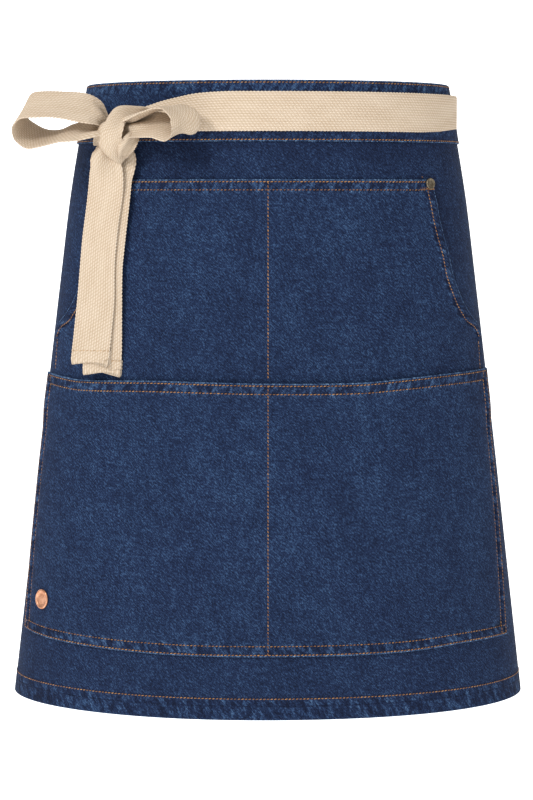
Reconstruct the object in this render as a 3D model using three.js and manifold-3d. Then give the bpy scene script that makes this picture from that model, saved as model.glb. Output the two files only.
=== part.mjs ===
// A waist apron of stiff denim with a webbing belt tied in a bow, in the form it keeps when it is worn.
// Lengths are in millimetres. +Z is up, the front faces -Y and +X is the wearer's left.
// The origin is the middle of the waist, at the height of the belt's centre line.

import * as THREE from "three";
import Module from "manifold-3d";
import { mergeVertices } from "three/addons/utils/BufferGeometryUtils.js";

const kernel = await Module();
kernel.setup();

const DEGREE = Math.PI / 180;

// Sizes of the body form that the cloth wraps

const apronLength = 622;
const waistHalfWidth = 180.5;
const hemHalfWidth = 262.3;
const waistHalfDepth = 120;
const hemHalfDepth = 141.5;
const backGapAtWaist = 120;
const backGapAtHem = 280;

// Sizes of the cloth and of the space between its layers

const denimThickness = 1.2;
const layerGap = 0.6;
const seamBand = 9.5;
const seamStep = 0.6;
const hemBand = 21.6;
const backHemBand = 14;

// Sizes of the waistband and the belt

const waistbandHeight = 59;
const beltWidth = 38;
const beltThickness = 1.8;
const beltCentreDrop = 30.3;

// Sizes of the upper pocket

const upperPocketDrop = 95.4;
const upperPocketHalfTop = 172.2;
const sideOpeningDepth = 158;
const sideOpeningReach = 77;
const sideOpeningGape = 3;

// Sizes of the lower pocket

const lowerPocketDrop = 288.5;
const lowerPocketHeight = 270.5;
const lowerPocketLeftTop = 255;
const lowerPocketLeftFoot = 281;
const lowerPocketRightTop = 253;
const lowerPocketRightFoot = 269.5;
const lowerPocketSag = 3.2;
const lowerPocketGape = 2.2;

// Sizes of the bow and its tails

const knotArc = -149;
const knotDrop = 48.5;
const knotStand = 19.6;
const loopThickness = 1.8;
const frontTailLength = 225;
const backTailLength = 238;
const tailHem = 12;

// Sizes of the metal pieces

const rivetDiameter = 10.6;
const rivetCapHeight = 2.2;
const rivetArc = upperPocketHalfTop - 5.9;
const rivetDrop = upperPocketDrop + 4.4;
const badgeDiameter = 20;
const badgeHeight = 2;
const badgeFromSide = 38.2;
const badgeAboveFoot = 42.3;
const badgeArc = badgeFromSide - lowerPocketLeftFoot;
const badgeDrop = lowerPocketDrop + lowerPocketHeight - badgeAboveFoot;
const postRadius = 1.6;
const postClearance = 0.35;
const washerRadius = 3.6;
const washerThickness = 0.8;
const washerClear = 12;

// The body form: an ellipse at each height, wider towards the hem.
// drop is a share of the apron's length, flare a share of the growth from waist to hem.

const flareTable = [
  { drop: 0, flare: 0 },
  { drop: 0.095, flare: 0.134 },
  { drop: 0.185, flare: 0.248 },
  { drop: 0.284, flare: 0.346 },
  { drop: 0.416, flare: 0.471 },
  { drop: 0.581, flare: 0.624 },
  { drop: 0.782, flare: 0.8 },
  { drop: 1, flare: 1 },
];

function mix(a, b, share) {
  return a + (b - a) * share;
}

function clamp(value, low, high) {
  return Math.min(high, Math.max(low, value));
}

function smooth(share) {
  const s = clamp(share, 0, 1);
  return s * s * (3 - 2 * s);
}

// Reads one column of a table at a place between its rows.
function readTable(table, key, place, column) {
  if (place <= table[0][key]) return table[0][column];
  for (let i = 1; i < table.length; i += 1) {
    const before = table[i - 1];
    const after = table[i];
    if (place <= after[key]) {
      return mix(before[column], after[column], (place - before[key]) / (after[key] - before[key]));
    }
  }
  return table[table.length - 1][column];
}

function halfWidthAt(drop) {
  const flare = readTable(flareTable, "drop", drop / apronLength, "flare");
  return mix(waistHalfWidth, hemHalfWidth, flare);
}

function halfDepthAt(drop) {
  return mix(waistHalfDepth, hemHalfDepth, drop / apronLength);
}

// The drops of the form's own rows that lie between two drops, so that layers share their creases.
function formRowsBetween(low, high) {
  return flareTable.map((row) => row.drop * apronLength).filter((drop) => drop > low + 4 && drop < high - 4);
}

// The frame of the form at an angle round the waist: the point on it, its tangent and its normal.
function formFrame(angle, drop) {
  const a = halfWidthAt(drop);
  const b = halfDepthAt(drop);
  const point = new THREE.Vector3(a * Math.sin(angle), -b * Math.cos(angle), beltCentreDrop - drop);
  const normal = new THREE.Vector3(Math.sin(angle) / a, -Math.cos(angle) / b, 0).normalize();
  const tangent = new THREE.Vector3(-normal.y, normal.x, 0);
  return { point, normal, tangent };
}

function onForm(angle, drop, out) {
  const { point, normal } = formFrame(angle, drop);
  return point.addScaledVector(normal, out);
}

// Turns a length measured along the cloth from the middle of the front into an angle round the form.
const ARC_STEP = DEGREE;

function angleAtArc(arc, drop) {
  const a = halfWidthAt(drop);
  const b = halfDepthAt(drop);
  const wanted = Math.abs(arc);
  let angle = 0;
  let walked = 0;
  while (angle < Math.PI) {
    const middle = angle + ARC_STEP / 2;
    const piece = Math.hypot(a * Math.cos(middle), b * Math.sin(middle)) * ARC_STEP;
    if (walked + piece >= wanted) {
      return Math.sign(arc) * (angle + (ARC_STEP * (wanted - walked)) / piece);
    }
    walked += piece;
    angle += ARC_STEP;
  }
  return Math.sign(arc) * Math.PI;
}

// Builders of closed bodies

function geometryFrom(points, triangles) {
  const positions = new Float32Array(points.flatMap((p) => [p.x, p.y, p.z]));
  const geometry = new THREE.BufferGeometry();
  geometry.setAttribute("position", new THREE.BufferAttribute(positions, 3));
  geometry.setIndex(triangles);
  return geometry;
}

// A sheet from a grid of places, each with its angle, drop and the two faces' distances from the form.
function sheetGeometry(grid) {
  const rows = grid.length;
  const columns = grid[0].length;
  const points = [];
  const triangles = [];
  const id = (row, column, face) => 2 * (row * columns + column) + face;
  const quad = (a, b, c, d) => triangles.push(a, b, c, a, c, d);
  for (const row of grid) {
    for (const cell of row) {
      points.push(onForm(cell.angle, cell.drop, cell.outer));
      points.push(onForm(cell.angle, cell.drop, cell.inner));
    }
  }
  for (let i = 0; i + 1 < rows; i += 1) {
    for (let j = 0; j + 1 < columns; j += 1) {
      quad(id(i, j, 0), id(i + 1, j, 0), id(i + 1, j + 1, 0), id(i, j + 1, 0));
      quad(id(i, j, 1), id(i, j + 1, 1), id(i + 1, j + 1, 1), id(i + 1, j, 1));
    }
  }
  for (let j = 0; j + 1 < columns; j += 1) {
    quad(id(0, j, 0), id(0, j + 1, 0), id(0, j + 1, 1), id(0, j, 1));
    quad(id(rows - 1, j, 0), id(rows - 1, j, 1), id(rows - 1, j + 1, 1), id(rows - 1, j + 1, 0));
  }
  for (let i = 0; i + 1 < rows; i += 1) {
    quad(id(i, 0, 0), id(i, 0, 1), id(i + 1, 0, 1), id(i + 1, 0, 0));
    quad(id(i, columns - 1, 0), id(i + 1, columns - 1, 0), id(i + 1, columns - 1, 1), id(i, columns - 1, 1));
  }
  return geometryFrom(points, triangles);
}

// A body swept through rings of equal length. The caps follow the flat outline given for the ring.
function sweptGeometry(rings, outline) {
  const count = outline.length;
  const last = (rings.length - 1) * count;
  const points = rings.flat();
  const triangles = [];
  for (let i = 0; i + 1 < rings.length; i += 1) {
    for (let k = 0; k < count; k += 1) {
      const next = (k + 1) % count;
      const here = i * count;
      const there = here + count;
      triangles.push(here + k, there + k, there + next);
      triangles.push(here + k, there + next, here + next);
    }
  }
  for (const [a, b, c] of THREE.ShapeUtils.triangulateShape(outline, [])) {
    triangles.push(a, b, c);
    triangles.push(last + a, last + c, last + b);
  }
  return geometryFrom(points, triangles);
}

function solidFrom(geometry) {
  const positionOnly = new THREE.BufferGeometry();
  positionOnly.setAttribute("position", geometry.getAttribute("position"));
  if (geometry.index) positionOnly.setIndex(geometry.index);
  const merged = mergeVertices(positionOnly, 1e-4);
  const mesh = new kernel.Mesh({
    numProp: 3,
    vertProperties: merged.getAttribute("position").array,
    triVerts: new Uint32Array(merged.index.array),
  });
  mesh.merge();
  const solid = new kernel.Manifold(mesh);
  return solid.volume() < 0 ? solidFrom(turnedOver(merged)) : solid;
}

function turnedOver(geometry) {
  const turned = geometry.clone();
  const index = turned.index.array;
  for (let i = 0; i < index.length; i += 3) {
    const second = index[i + 1];
    index[i + 1] = index[i + 2];
    index[i + 2] = second;
  }
  return turned;
}

function geometryOf(solid) {
  const mesh = solid.getMesh();
  const geometry = new THREE.BufferGeometry();
  geometry.setAttribute("position", new THREE.BufferAttribute(mesh.vertProperties, 3));
  geometry.setIndex(new THREE.BufferAttribute(mesh.triVerts, 1));
  return geometry;
}

// Columns and rows of the sheets

const COLUMN_ANGLE = 5.1 * DEGREE;
const BAND_COLUMNS = 3;

// Angles from one edge to the other, with the bands of the two edges as columns of their own.
function bandedAngles(leftArc, rightArc, leftBand, rightBand, drop, middleColumns) {
  const fromEdge = (band) => [0, band / 2, band, band + seamStep];
  const edges = fromEdge(leftBand).map((inside) => angleAtArc(leftArc + inside, drop));
  const ends = fromEdge(rightBand).map((inside) => angleAtArc(rightArc - inside, drop));
  const angles = [...edges];
  for (let k = 1; k < middleColumns; k += 1) {
    angles.push(mix(edges[3], ends[3], k / middleColumns));
  }
  return [...angles, ...ends.reverse()];
}

// Panel

function backGapAt(drop) {
  return mix(backGapAtWaist, backGapAtHem, drop / apronLength);
}

// The angle of the panel's back edge. Half a turn less the gap, measured where the form is nearly flat.
function backEdgeAngle(drop) {
  return Math.PI - backGapAt(drop) / 2 / halfWidthAt(drop);
}

const panelInnerOffset = 0;
const panelOuterOffset = panelInnerOffset + denimThickness;
const foldedInnerOffset = panelInnerOffset - denimThickness;
const panelTopDrop = 5;

function panelRows() {
  const hemTop = apronLength - hemBand;
  const drops = [panelTopDrop, waistbandHeight, ...formRowsBetween(waistbandHeight, hemTop), hemTop - seamStep];
  return [...drops, hemTop, apronLength];
}

const panelMiddleColumns = Math.round((2 * backEdgeAngle(apronLength / 2)) / COLUMN_ANGLE);

function panelGeometry() {
  const hemTop = apronLength - hemBand;
  const grid = panelRows().map((drop) => {
    const edge = backEdgeAngle(drop);
    const band = backHemBand / halfWidthAt(drop);
    const step = seamStep / halfWidthAt(drop);
    const angles = [-edge, -edge + band, -edge + band + step];
    for (let k = 1; k < panelMiddleColumns; k += 1) {
      angles.push(mix(-edge + band + step, edge - band - step, k / panelMiddleColumns));
    }
    angles.push(edge - band - step, edge - band, edge);
    return angles.map((angle, column) => {
      const inSideHem = drop > waistbandHeight && (column < 2 || column > angles.length - 3);
      const folded = drop >= hemTop || inSideHem;
      return { angle, drop, inner: folded ? foldedInnerOffset : panelInnerOffset, outer: panelOuterOffset };
    });
  });
  return sheetGeometry(grid);
}

// Waistband: a strip folded over the panel's top edge

const waistbandOuterFrom = panelOuterOffset + layerGap;
const waistbandOuterTo = waistbandOuterFrom + denimThickness;
const waistbandInnerFrom = panelInnerOffset - layerGap;
const waistbandInnerTo = waistbandInnerFrom - denimThickness;
const foldDepth = 4.2;

function waistbandGeometry() {
  const middle = (waistbandOuterTo + waistbandInnerTo) / 2;
  const outline = [
    { out: waistbandOuterTo, drop: waistbandHeight },
    { out: waistbandOuterTo, drop: foldDepth * 0.5 },
    { out: mix(middle, waistbandOuterTo, 0.5), drop: 0 },
    { out: mix(middle, waistbandInnerTo, 0.5), drop: 0 },
    { out: waistbandInnerTo, drop: foldDepth * 0.5 },
    { out: waistbandInnerTo, drop: waistbandHeight },
    { out: waistbandInnerFrom, drop: waistbandHeight },
    { out: waistbandInnerFrom, drop: foldDepth },
    { out: waistbandOuterFrom, drop: foldDepth },
    { out: waistbandOuterFrom, drop: waistbandHeight },
  ];
  const rings = [];
  for (let k = 0; k <= panelMiddleColumns; k += 1) {
    rings.push(
      outline.map(({ out, drop }) => {
        const edge = backEdgeAngle(waistbandHeight / 2);
        return onForm(mix(-edge, edge, k / panelMiddleColumns), drop, out);
      }),
    );
  }
  const flat = outline.map(({ out, drop }) => new THREE.Vector2(out, -drop));
  return sweptGeometry(rings, flat);
}

// Upper pocket: the wide layer with a curved hand opening at each side.
// across is a share of the opening's reach, down a share of its depth.

const sideOpeningTable = [
  { down: 0, across: 0 },
  { down: 0.057, across: 0.006 },
  { down: 0.144, across: 0.051 },
  { down: 0.245, across: 0.085 },
  { down: 0.353, across: 0.135 },
  { down: 0.455, across: 0.195 },
  { down: 0.579, across: 0.255 },
  { down: 0.681, across: 0.36 },
  { down: 0.779, across: 0.505 },
  { down: 0.863, across: 0.705 },
  { down: 0.927, across: 0.92 },
  { down: 1, across: 1 },
];

const upperPocketFrom = panelOuterOffset + layerGap;
const lowerPocketFrom = upperPocketFrom + denimThickness + layerGap;
const lowerPocketFoot = lowerPocketDrop + lowerPocketHeight;
const hiddenMargin = 10;
const tuckStart = 30;
const tuckLength = 32;

function upperPocketEdge(drop) {
  const down = (drop - upperPocketDrop) / sideOpeningDepth;
  return upperPocketHalfTop + sideOpeningReach * readTable(sideOpeningTable, "down", down, "across");
}

function lowerPocketEdge(side, drop) {
  const share = clamp((drop - lowerPocketDrop) / lowerPocketHeight, 0, 1);
  const eased = 1 - (1 - share) * (1 - share);
  if (side < 0) return mix(lowerPocketLeftTop, lowerPocketLeftFoot, eased);
  return mix(lowerPocketRightTop, lowerPocketRightFoot, eased);
}

// How far the lower pocket's edge has come down from the layer beneath it on to the panel.
function tuckShare(drop) {
  return smooth((drop - lowerPocketDrop - tuckStart) / tuckLength);
}

// Below the lower pocket's mouth the upper pocket's side edges draw in, hidden under it.
function hiddenEdge(side, drop) {
  const free = upperPocketEdge(drop);
  const inside = lowerPocketEdge(side, drop) - seamBand - seamStep - hiddenMargin;
  return mix(free, Math.min(free, inside), smooth((drop - lowerPocketDrop - 4) / (tuckStart - 4)));
}

// Width of the double seam measured level, which grows where the edge runs slantwise.
function levelBand(drop) {
  const reach = 3;
  const slope = (upperPocketEdge(drop + reach) - upperPocketEdge(drop - reach)) / (2 * reach);
  return seamBand * Math.min(2.1, Math.hypot(1, slope));
}

function upperPocketRows() {
  const openingRows = sideOpeningTable.slice(2).map((row) => upperPocketDrop + row.down * sideOpeningDepth);
  const hiddenRows = [lowerPocketDrop + 4, lowerPocketDrop + (tuckStart + 4) / 2, lowerPocketDrop + tuckStart];
  const foot = badgeDrop - washerClear;
  const lowerRows = formRowsBetween(lowerPocketDrop + tuckStart, foot);
  const top = [upperPocketDrop, upperPocketDrop + seamBand, upperPocketDrop + seamBand + seamStep];
  const rows = [...top, ...openingRows, lowerPocketDrop - 12, ...hiddenRows, ...lowerRows, foot];
  return rows.sort((a, b) => a - b);
}

const pocketMiddleColumns = 31;

function upperPocketGeometry() {
  const mouthEnd = upperPocketDrop + sideOpeningDepth;
  const grid = upperPocketRows().map((drop) => {
    const band = levelBand(drop);
    const left = -hiddenEdge(-1, drop);
    const right = hiddenEdge(1, drop);
    const angles = bandedAngles(left, right, band, band, drop, pocketMiddleColumns);
    const mouthStart = rivetDrop + rivetDiameter;
    const open = clamp((drop - mouthStart) / (mouthEnd - mouthStart), 0, 1);
    const mouth = Math.sin(Math.PI * open) ** 2;
    return angles.map((angle, column) => {
      const fromEdge = Math.min(column, angles.length - 1 - column);
      const gape = sideOpeningGape * mouth * smooth(1 - (fromEdge - BAND_COLUMNS) / 4);
      const inTopBand = drop <= upperPocketDrop + seamBand;
      const inSideBand = fromEdge < BAND_COLUMNS && drop < mouthEnd;
      const inner = upperPocketFrom + gape;
      const layers = inTopBand || inSideBand ? 2 : 1;
      return { angle, drop, inner, outer: inner + layers * denimThickness };
    });
  });
  return sheetGeometry(grid);
}

// Lower pocket: open at the top, double seams on its other three edges too.
// across is a share of the half width, sag a share of the sag at the middle.

const mouthSagTable = [
  { across: -1, sag: 0.05 },
  { across: -0.85, sag: 0.9 },
  { across: -0.76, sag: 1.3 },
  { across: -0.43, sag: 0.6 },
  { across: 0, sag: 1 },
  { across: 0.35, sag: 1 },
  { across: 0.53, sag: 0.15 },
  { across: 0.73, sag: -0.7 },
  { across: 1, sag: -1.2 },
];

const footRiseTable = [
  { across: -1, rise: 2.5 },
  { across: -0.8, rise: 1.3 },
  { across: -0.35, rise: 0.1 },
  { across: 0, rise: 0 },
  { across: 0.5, rise: 0.2 },
  { across: 0.75, rise: 1.2 },
  { across: 1, rise: 1.1 },
];

function lowerPocketGeometry() {
  const foot = lowerPocketFoot;
  const middleRows = [lowerPocketDrop + tuckStart, lowerPocketDrop + tuckStart + tuckLength];
  const rows = [
    lowerPocketDrop,
    lowerPocketDrop + seamBand,
    lowerPocketDrop + seamBand + seamStep,
    ...middleRows,
    ...formRowsBetween(lowerPocketDrop + tuckStart + tuckLength, foot - 3 * seamBand),
    foot - seamBand - seamStep - hiddenMargin + 2,
    foot - seamBand - seamStep,
    foot - seamBand,
    foot,
  ].sort((a, b) => a - b);
  const grid = rows.map((drop) => {
    const left = -lowerPocketEdge(-1, drop);
    const right = lowerPocketEdge(1, drop);
    const nearMouth = smooth(1 - (drop - lowerPocketDrop) / 60);
    const nearFoot = smooth(1 - (foot - drop) / 40);
    const tuck = Math.max(tuckShare(drop), smooth((drop - foot + seamBand + hiddenMargin) / hiddenMargin));
    const atFoot = drop > foot - seamBand - seamStep - 1;
    const angles = bandedAngles(left, right, seamBand, seamBand, drop, pocketMiddleColumns);
    const shoulder = hiddenMargin - 2;
    angles.splice(BAND_COLUMNS + 1, 1, angleAtArc(left + seamBand + seamStep + shoulder, drop));
    angles.splice(-BAND_COLUMNS - 2, 1, angleAtArc(right - seamBand - seamStep - shoulder, drop));
    return angles.map((angle, column) => {
      const fromEdge = Math.min(column, angles.length - 1 - column);
      const across = angle / angles[angles.length - 1];
      const sag = lowerPocketSag * nearMouth * readTable(mouthSagTable, "across", across, "sag");
      const rise = lowerPocketSag * nearFoot * readTable(footRiseTable, "across", across, "rise");
      const gape = lowerPocketGape * nearMouth * smooth(1.25 * (1 - Math.abs(across)));
      const tucked = atFoot ? 1 : fromEdge <= BAND_COLUMNS ? tuck : 0;
      const inner = mix(lowerPocketFrom, upperPocketFrom, tucked) + gape;
      const inMouthBand = drop <= lowerPocketDrop + seamBand;
      const inFootBand = drop >= foot - seamBand;
      const layers = inMouthBand || inFootBand || fromEdge < BAND_COLUMNS ? 2 : 1;
      return { angle, drop: drop + sag - rise, inner, outer: inner + layers * denimThickness };
    });
  });
  return sheetGeometry(grid);
}

// Belt: one strap that runs from the knot round the back to the knot again, gathered at both ends.
// away is in belt widths from the knot, the other columns are shares of the belt's width.

const gatherTable = [
  { away: 0.2, top: -0.12, foot: -0.6, stand: 0.24 },
  { away: 0.55, top: 0, foot: -0.58, stand: 0.15 },
  { away: 0.8, top: 0.12, foot: -0.56, stand: 0.08 },
  { away: 1.05, top: 0.2, foot: -0.54, stand: 0.04 },
  { away: 1.3, top: 0.28, foot: -0.53, stand: 0.01 },
  { away: 1.7, top: 0.37, foot: -0.51, stand: 0 },
  { away: 2.2, top: 0.46, foot: -0.5, stand: 0 },
  { away: 2.9, top: 0.5, foot: -0.5, stand: 0 },
];

const beltFrom = waistbandOuterTo + layerGap;

// Extra columns between two that stand further apart than the column angle.
function filledColumns(columns) {
  return columns.flatMap((column, i) => {
    const next = columns[i + 1];
    if (!next) return [column];
    const parts = Math.max(1, Math.round((next.angle - column.angle) / COLUMN_ANGLE));
    return Array.from({ length: parts }, (unused, k) => ({
      angle: mix(column.angle, next.angle, k / parts),
      top: mix(column.top, next.top, k / parts),
      foot: mix(column.foot, next.foot, k / parts),
      stand: mix(column.stand, next.stand, k / parts),
    }));
  });
}

function beltGeometry() {
  const atSide = (side, row) => angleAtArc(knotArc + side * row.away * beltWidth, beltCentreDrop);
  const rightEnd = gatherTable.map((row) => ({ ...row, angle: atSide(1, row) }));
  const leftEnd = gatherTable.map((row) => ({ ...row, angle: atSide(-1, row) + 2 * Math.PI })).reverse();
  const columns = filledColumns([...rightEnd, ...leftEnd]);
  const grid = ["top", "foot"].map((edge) =>
    columns.map((column) => {
      const inner = beltFrom + column.stand * beltWidth;
      const drop = beltCentreDrop - column[edge] * beltWidth;
      return { angle: column.angle, drop, inner, outer: inner + beltThickness };
    }),
  );
  return sheetGeometry(grid);
}

// Knot: a rounded lump over six smaller ones. Its frame is the form's own at the knot.
// Every column is a share of the belt's width.

const knotLumps = [
  { along: 0.29, off: -0.1, up: 0.39, radius: 0.27 },
  { along: -0.02, off: 0.08, up: 0.03, radius: 0.27 },
  { along: 0.08, off: 0.02, up: -0.49, radius: 0.25 },
  { along: 0.31, off: -0.08, up: -0.31, radius: 0.26 },
  { along: 0.57, off: -0.2, up: 0.45, radius: 0.14 },
  { along: 0.26, off: 0.14, up: -0.05, radius: 0.23 },
];

const knotFrame = formFrame(angleAtArc(knotArc, knotDrop), knotDrop);
const knotCentre = knotFrame.point.clone().addScaledVector(knotFrame.normal, knotStand);

function inKnotFrame(along, off, up) {
  return new THREE.Vector3()
    .addScaledVector(knotFrame.tangent, along)
    .addScaledVector(knotFrame.normal, off)
    .add(new THREE.Vector3(0, 0, up));
}

function fromKnot(row) {
  return knotCentre
    .clone()
    .add(inKnotFrame(row.along * beltWidth, row.off * beltWidth, row.up * beltWidth));
}

function knotSolid(grown) {
  const lumps = knotLumps.map((lump) => {
    const centre = fromKnot(lump);
    const radius = lump.radius * beltWidth + grown;
    return kernel.Manifold.sphere(radius, 16).translate([centre.x, centre.y, centre.z]);
  });
  return kernel.Manifold.hull(lumps);
}

// Bow loops: a strap swept through rows that give its centre, the way its width runs and its width.

const leftLoopTable = [
  { along: -0.09, off: 0.1, up: 0.23, edgeAlong: -0.3, edgeOff: -0.66, edgeUp: 0.69, width: 0.5 },
  { along: -0.17, off: 0.34, up: 0.45, edgeAlong: -0.28, edgeOff: -0.63, edgeUp: 0.73, width: 0.85 },
  { along: -0.43, off: 0.61, up: 0.57, edgeAlong: -0.28, edgeOff: -0.58, edgeUp: 0.76, width: 1 },
  { along: -0.92, off: 0.94, up: 0.65, edgeAlong: -0.32, edgeOff: -0.64, edgeUp: 0.7, width: 1 },
  { along: -1.37, off: 1.18, up: 0.66, edgeAlong: -0.3, edgeOff: -0.65, edgeUp: 0.7, width: 1 },
  { along: -1.73, off: 1.28, up: 0.62, edgeAlong: -0.24, edgeOff: -0.7, edgeUp: 0.67, width: 1 },
  { along: -2.02, off: 1.21, up: 0.4, edgeAlong: -0.25, edgeOff: -0.8, edgeUp: 0.54, width: 1 },
  { along: -2.13, off: 1.11, up: 0.18, edgeAlong: -0.25, edgeOff: -0.85, edgeUp: 0.47, width: 1 },
  { along: -2.06, off: 0.99, up: -0.01, edgeAlong: -0.13, edgeOff: -0.85, edgeUp: 0.51, width: 1 },
  { along: -1.79, off: 0.85, up: -0.18, edgeAlong: -0.06, edgeOff: -0.85, edgeUp: 0.52, width: 1 },
  { along: -1.32, off: 0.8, up: -0.16, edgeAlong: -0.14, edgeOff: -0.88, edgeUp: 0.45, width: 1 },
  { along: -0.87, off: 0.76, up: -0.05, edgeAlong: -0.24, edgeOff: -0.84, edgeUp: 0.48, width: 1 },
  { along: -0.53, off: 0.64, up: -0.01, edgeAlong: -0.45, edgeOff: -0.73, edgeUp: 0.52, width: 0.95 },
  { along: -0.24, off: 0.42, up: 0.03, edgeAlong: -0.54, edgeOff: -0.68, edgeUp: 0.5, width: 0.75 },
  { along: -0.09, off: 0.1, up: 0.06, edgeAlong: -0.56, edgeOff: -0.69, edgeUp: 0.47, width: 0.5 },
];

const rightLoopTable = [
  { along: 0.14, off: -0.03, up: 0.18, edgeAlong: -0.29, edgeOff: -0.89, edgeUp: 0.35, width: 0.45 },
  { along: 0.62, off: 0.12, up: 0.34, edgeAlong: -0.2, edgeOff: -0.95, edgeUp: 0.25, width: 0.72 },
  { along: 1.27, off: 0.16, up: 0.53, edgeAlong: 0, edgeOff: -0.99, edgeUp: 0.13, width: 1 },
  { along: 1.8, off: 0.03, up: 0.6, edgeAlong: 0.17, edgeOff: -0.98, edgeUp: 0.08, width: 1 },
  { along: 2.14, off: -0.02, up: 0.47, edgeAlong: 0.21, edgeOff: -0.98, edgeUp: 0.05, width: 1 },
  { along: 2.28, off: -0.09, up: 0.16, edgeAlong: 0.24, edgeOff: -0.97, edgeUp: 0.03, width: 1 },
  { along: 2.11, off: -0.06, up: -0.12, edgeAlong: 0.21, edgeOff: -0.98, edgeUp: 0.03, width: 1 },
  { along: 1.74, off: 0.04, up: -0.22, edgeAlong: 0.17, edgeOff: -0.98, edgeUp: 0.03, width: 1 },
  { along: 1.22, off: 0.17, up: -0.22, edgeAlong: 0, edgeOff: -1, edgeUp: 0.08, width: 1 },
  { along: 0.62, off: 0.16, up: -0.13, edgeAlong: -0.23, edgeOff: -0.96, edgeUp: 0.15, width: 0.72 },
  { along: 0.14, off: -0.03, up: 0, edgeAlong: -0.33, edgeOff: -0.94, edgeUp: 0.14, width: 0.45 },
];

const STRAP_STEPS = 3;

// A strap through stations, each with its centre, the direction of its width, its width and thickness.
function strapGeometry(stations) {
  const centres = new THREE.CatmullRomCurve3(stations.map((s) => s.centre), false, "centripetal");
  const edges = new THREE.CatmullRomCurve3(stations.map((s) => s.edge), false, "catmullrom", 0.5);
  const spans = stations.length - 1;
  const total = spans * STRAP_STEPS;
  const rings = [];
  for (let k = 0; k <= total; k += 1) {
    const share = k / total;
    const span = Math.min(spans - 1, Math.floor(share * spans));
    const within = share * spans - span;
    const width = mix(stations[span].width, stations[span + 1].width, within);
    const thickness = mix(stations[span].thickness, stations[span + 1].thickness, within);
    const centre = centres.getPoint(share);
    const along = centres.getTangent(share);
    const edge = edges.getPoint(share);
    edge.addScaledVector(along, -edge.dot(along)).normalize();
    const face = new THREE.Vector3().crossVectors(along, edge).normalize();
    const corner = (side, layer) =>
      centre
        .clone()
        .addScaledVector(edge, (side * width) / 2)
        .addScaledVector(face, (layer * thickness) / 2);
    rings.push([corner(-1, -1), corner(1, -1), corner(1, 1), corner(-1, 1)]);
  }
  const flat = [
    new THREE.Vector2(-1, -1),
    new THREE.Vector2(1, -1),
    new THREE.Vector2(1, 1),
    new THREE.Vector2(-1, 1),
  ];
  return sweptGeometry(rings, flat);
}

function loopGeometry(table) {
  return strapGeometry(
    table.map((row) => ({
      centre: fromKnot(row),
      edge: inKnotFrame(row.edgeAlong, row.edgeOff, row.edgeUp).normalize(),
      width: row.width * beltWidth,
      thickness: loopThickness,
    })),
  );
}

// Tails: below is a share of the tail's length, shift, stand and width are shares of the belt's width.
// face is the turn of the tail's flat side away from the cloth behind it, in degrees.

const frontTailTable = [
  { below: 0.02, shift: 0.02, stand: 0.59, face: -38, width: 0.45 },
  { below: 0.088, shift: 0, stand: 0.71, face: -34, width: 0.59 },
  { below: 0.122, shift: -0.03, stand: 0.78, face: -30, width: 0.72 },
  { below: 0.169, shift: -0.05, stand: 0.73, face: -24, width: 0.86 },
  { below: 0.225, shift: -0.11, stand: 0.69, face: -15, width: 0.95 },
  { below: 0.285, shift: -0.18, stand: 0.66, face: -13, width: 0.97 },
  { below: 0.371, shift: -0.27, stand: 0.63, face: -11, width: 0.96 },
  { below: 0.475, shift: -0.36, stand: 0.62, face: -12, width: 0.97 },
  { below: 0.588, shift: -0.41, stand: 0.61, face: -11, width: 0.97 },
  { below: 0.735, shift: -0.45, stand: 0.6, face: -18, width: 1 },
  { below: 1, shift: -0.6, stand: 0.59, face: -21, width: 1 },
];

const backTailTable = [
  { below: 0.02, shift: 0.2, stand: 0.39, face: -30, width: 0.45 },
  { below: 0.074, shift: 0.17, stand: 0.36, face: -28, width: 0.66 },
  { below: 0.107, shift: 0.16, stand: 0.37, face: -25, width: 0.85 },
  { below: 0.139, shift: 0.12, stand: 0.38, face: -20, width: 0.93 },
  { below: 0.188, shift: 0.02, stand: 0.38, face: -18, width: 0.97 },
  { below: 0.282, shift: -0.06, stand: 0.36, face: -17, width: 0.98 },
  { below: 0.384, shift: -0.16, stand: 0.34, face: -17, width: 1 },
  { below: 0.491, shift: -0.24, stand: 0.34, face: -17, width: 1 },
  { below: 0.601, shift: -0.29, stand: 0.36, face: -18, width: 1 },
  { below: 0.839, shift: -0.3, stand: 0.36, face: -18, width: 1 },
  { below: 1, shift: -0.34, stand: 0.35, face: -17, width: 1 },
];

function tailGeometry(table, length) {
  const station = (below, thickness) => {
    const read = (column) => readTable(table, "below", below / length, column);
    const drop = knotDrop + below;
    const frame = formFrame(angleAtArc(knotArc + read("shift") * beltWidth, drop), drop);
    const turn = read("face") * DEGREE;
    const edge = frame.tangent.clone().multiplyScalar(Math.cos(turn));
    return {
      centre: frame.point.addScaledVector(frame.normal, read("stand") * beltWidth),
      edge: edge.addScaledVector(frame.normal, Math.sin(turn)),
      width: read("width") * beltWidth,
      thickness,
    };
  };
  const belows = table.slice(0, -1).map((row) => row.below * length);
  return strapGeometry([
    ...belows.map((below) => station(below, beltThickness)),
    station(length - tailHem - seamStep, beltThickness),
    station(length - tailHem, 2 * beltThickness),
    station(length, 2 * beltThickness),
  ]);
}

// Metal: a cap on the cloth, a post through it and a washer behind it, as one turned body

function turnedSolid(profile, segments, arc, drop) {
  const geometry = new THREE.LatheGeometry(
    profile.map(({ radius, out }) => new THREE.Vector2(radius, out)),
    segments,
  );
  const angle = angleAtArc(arc, drop);
  const { point, tangent } = formFrame(angle, drop);
  const down = onForm(angle, drop + 1, 0).sub(onForm(angle, drop - 1, 0));
  down.addScaledVector(tangent, -down.dot(tangent)).normalize();
  const normal = new THREE.Vector3().crossVectors(down, tangent);
  const matrix = new THREE.Matrix4().makeBasis(tangent, normal, down.negate()).setPosition(point);
  return solidFrom(geometry.applyMatrix4(matrix));
}

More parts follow.
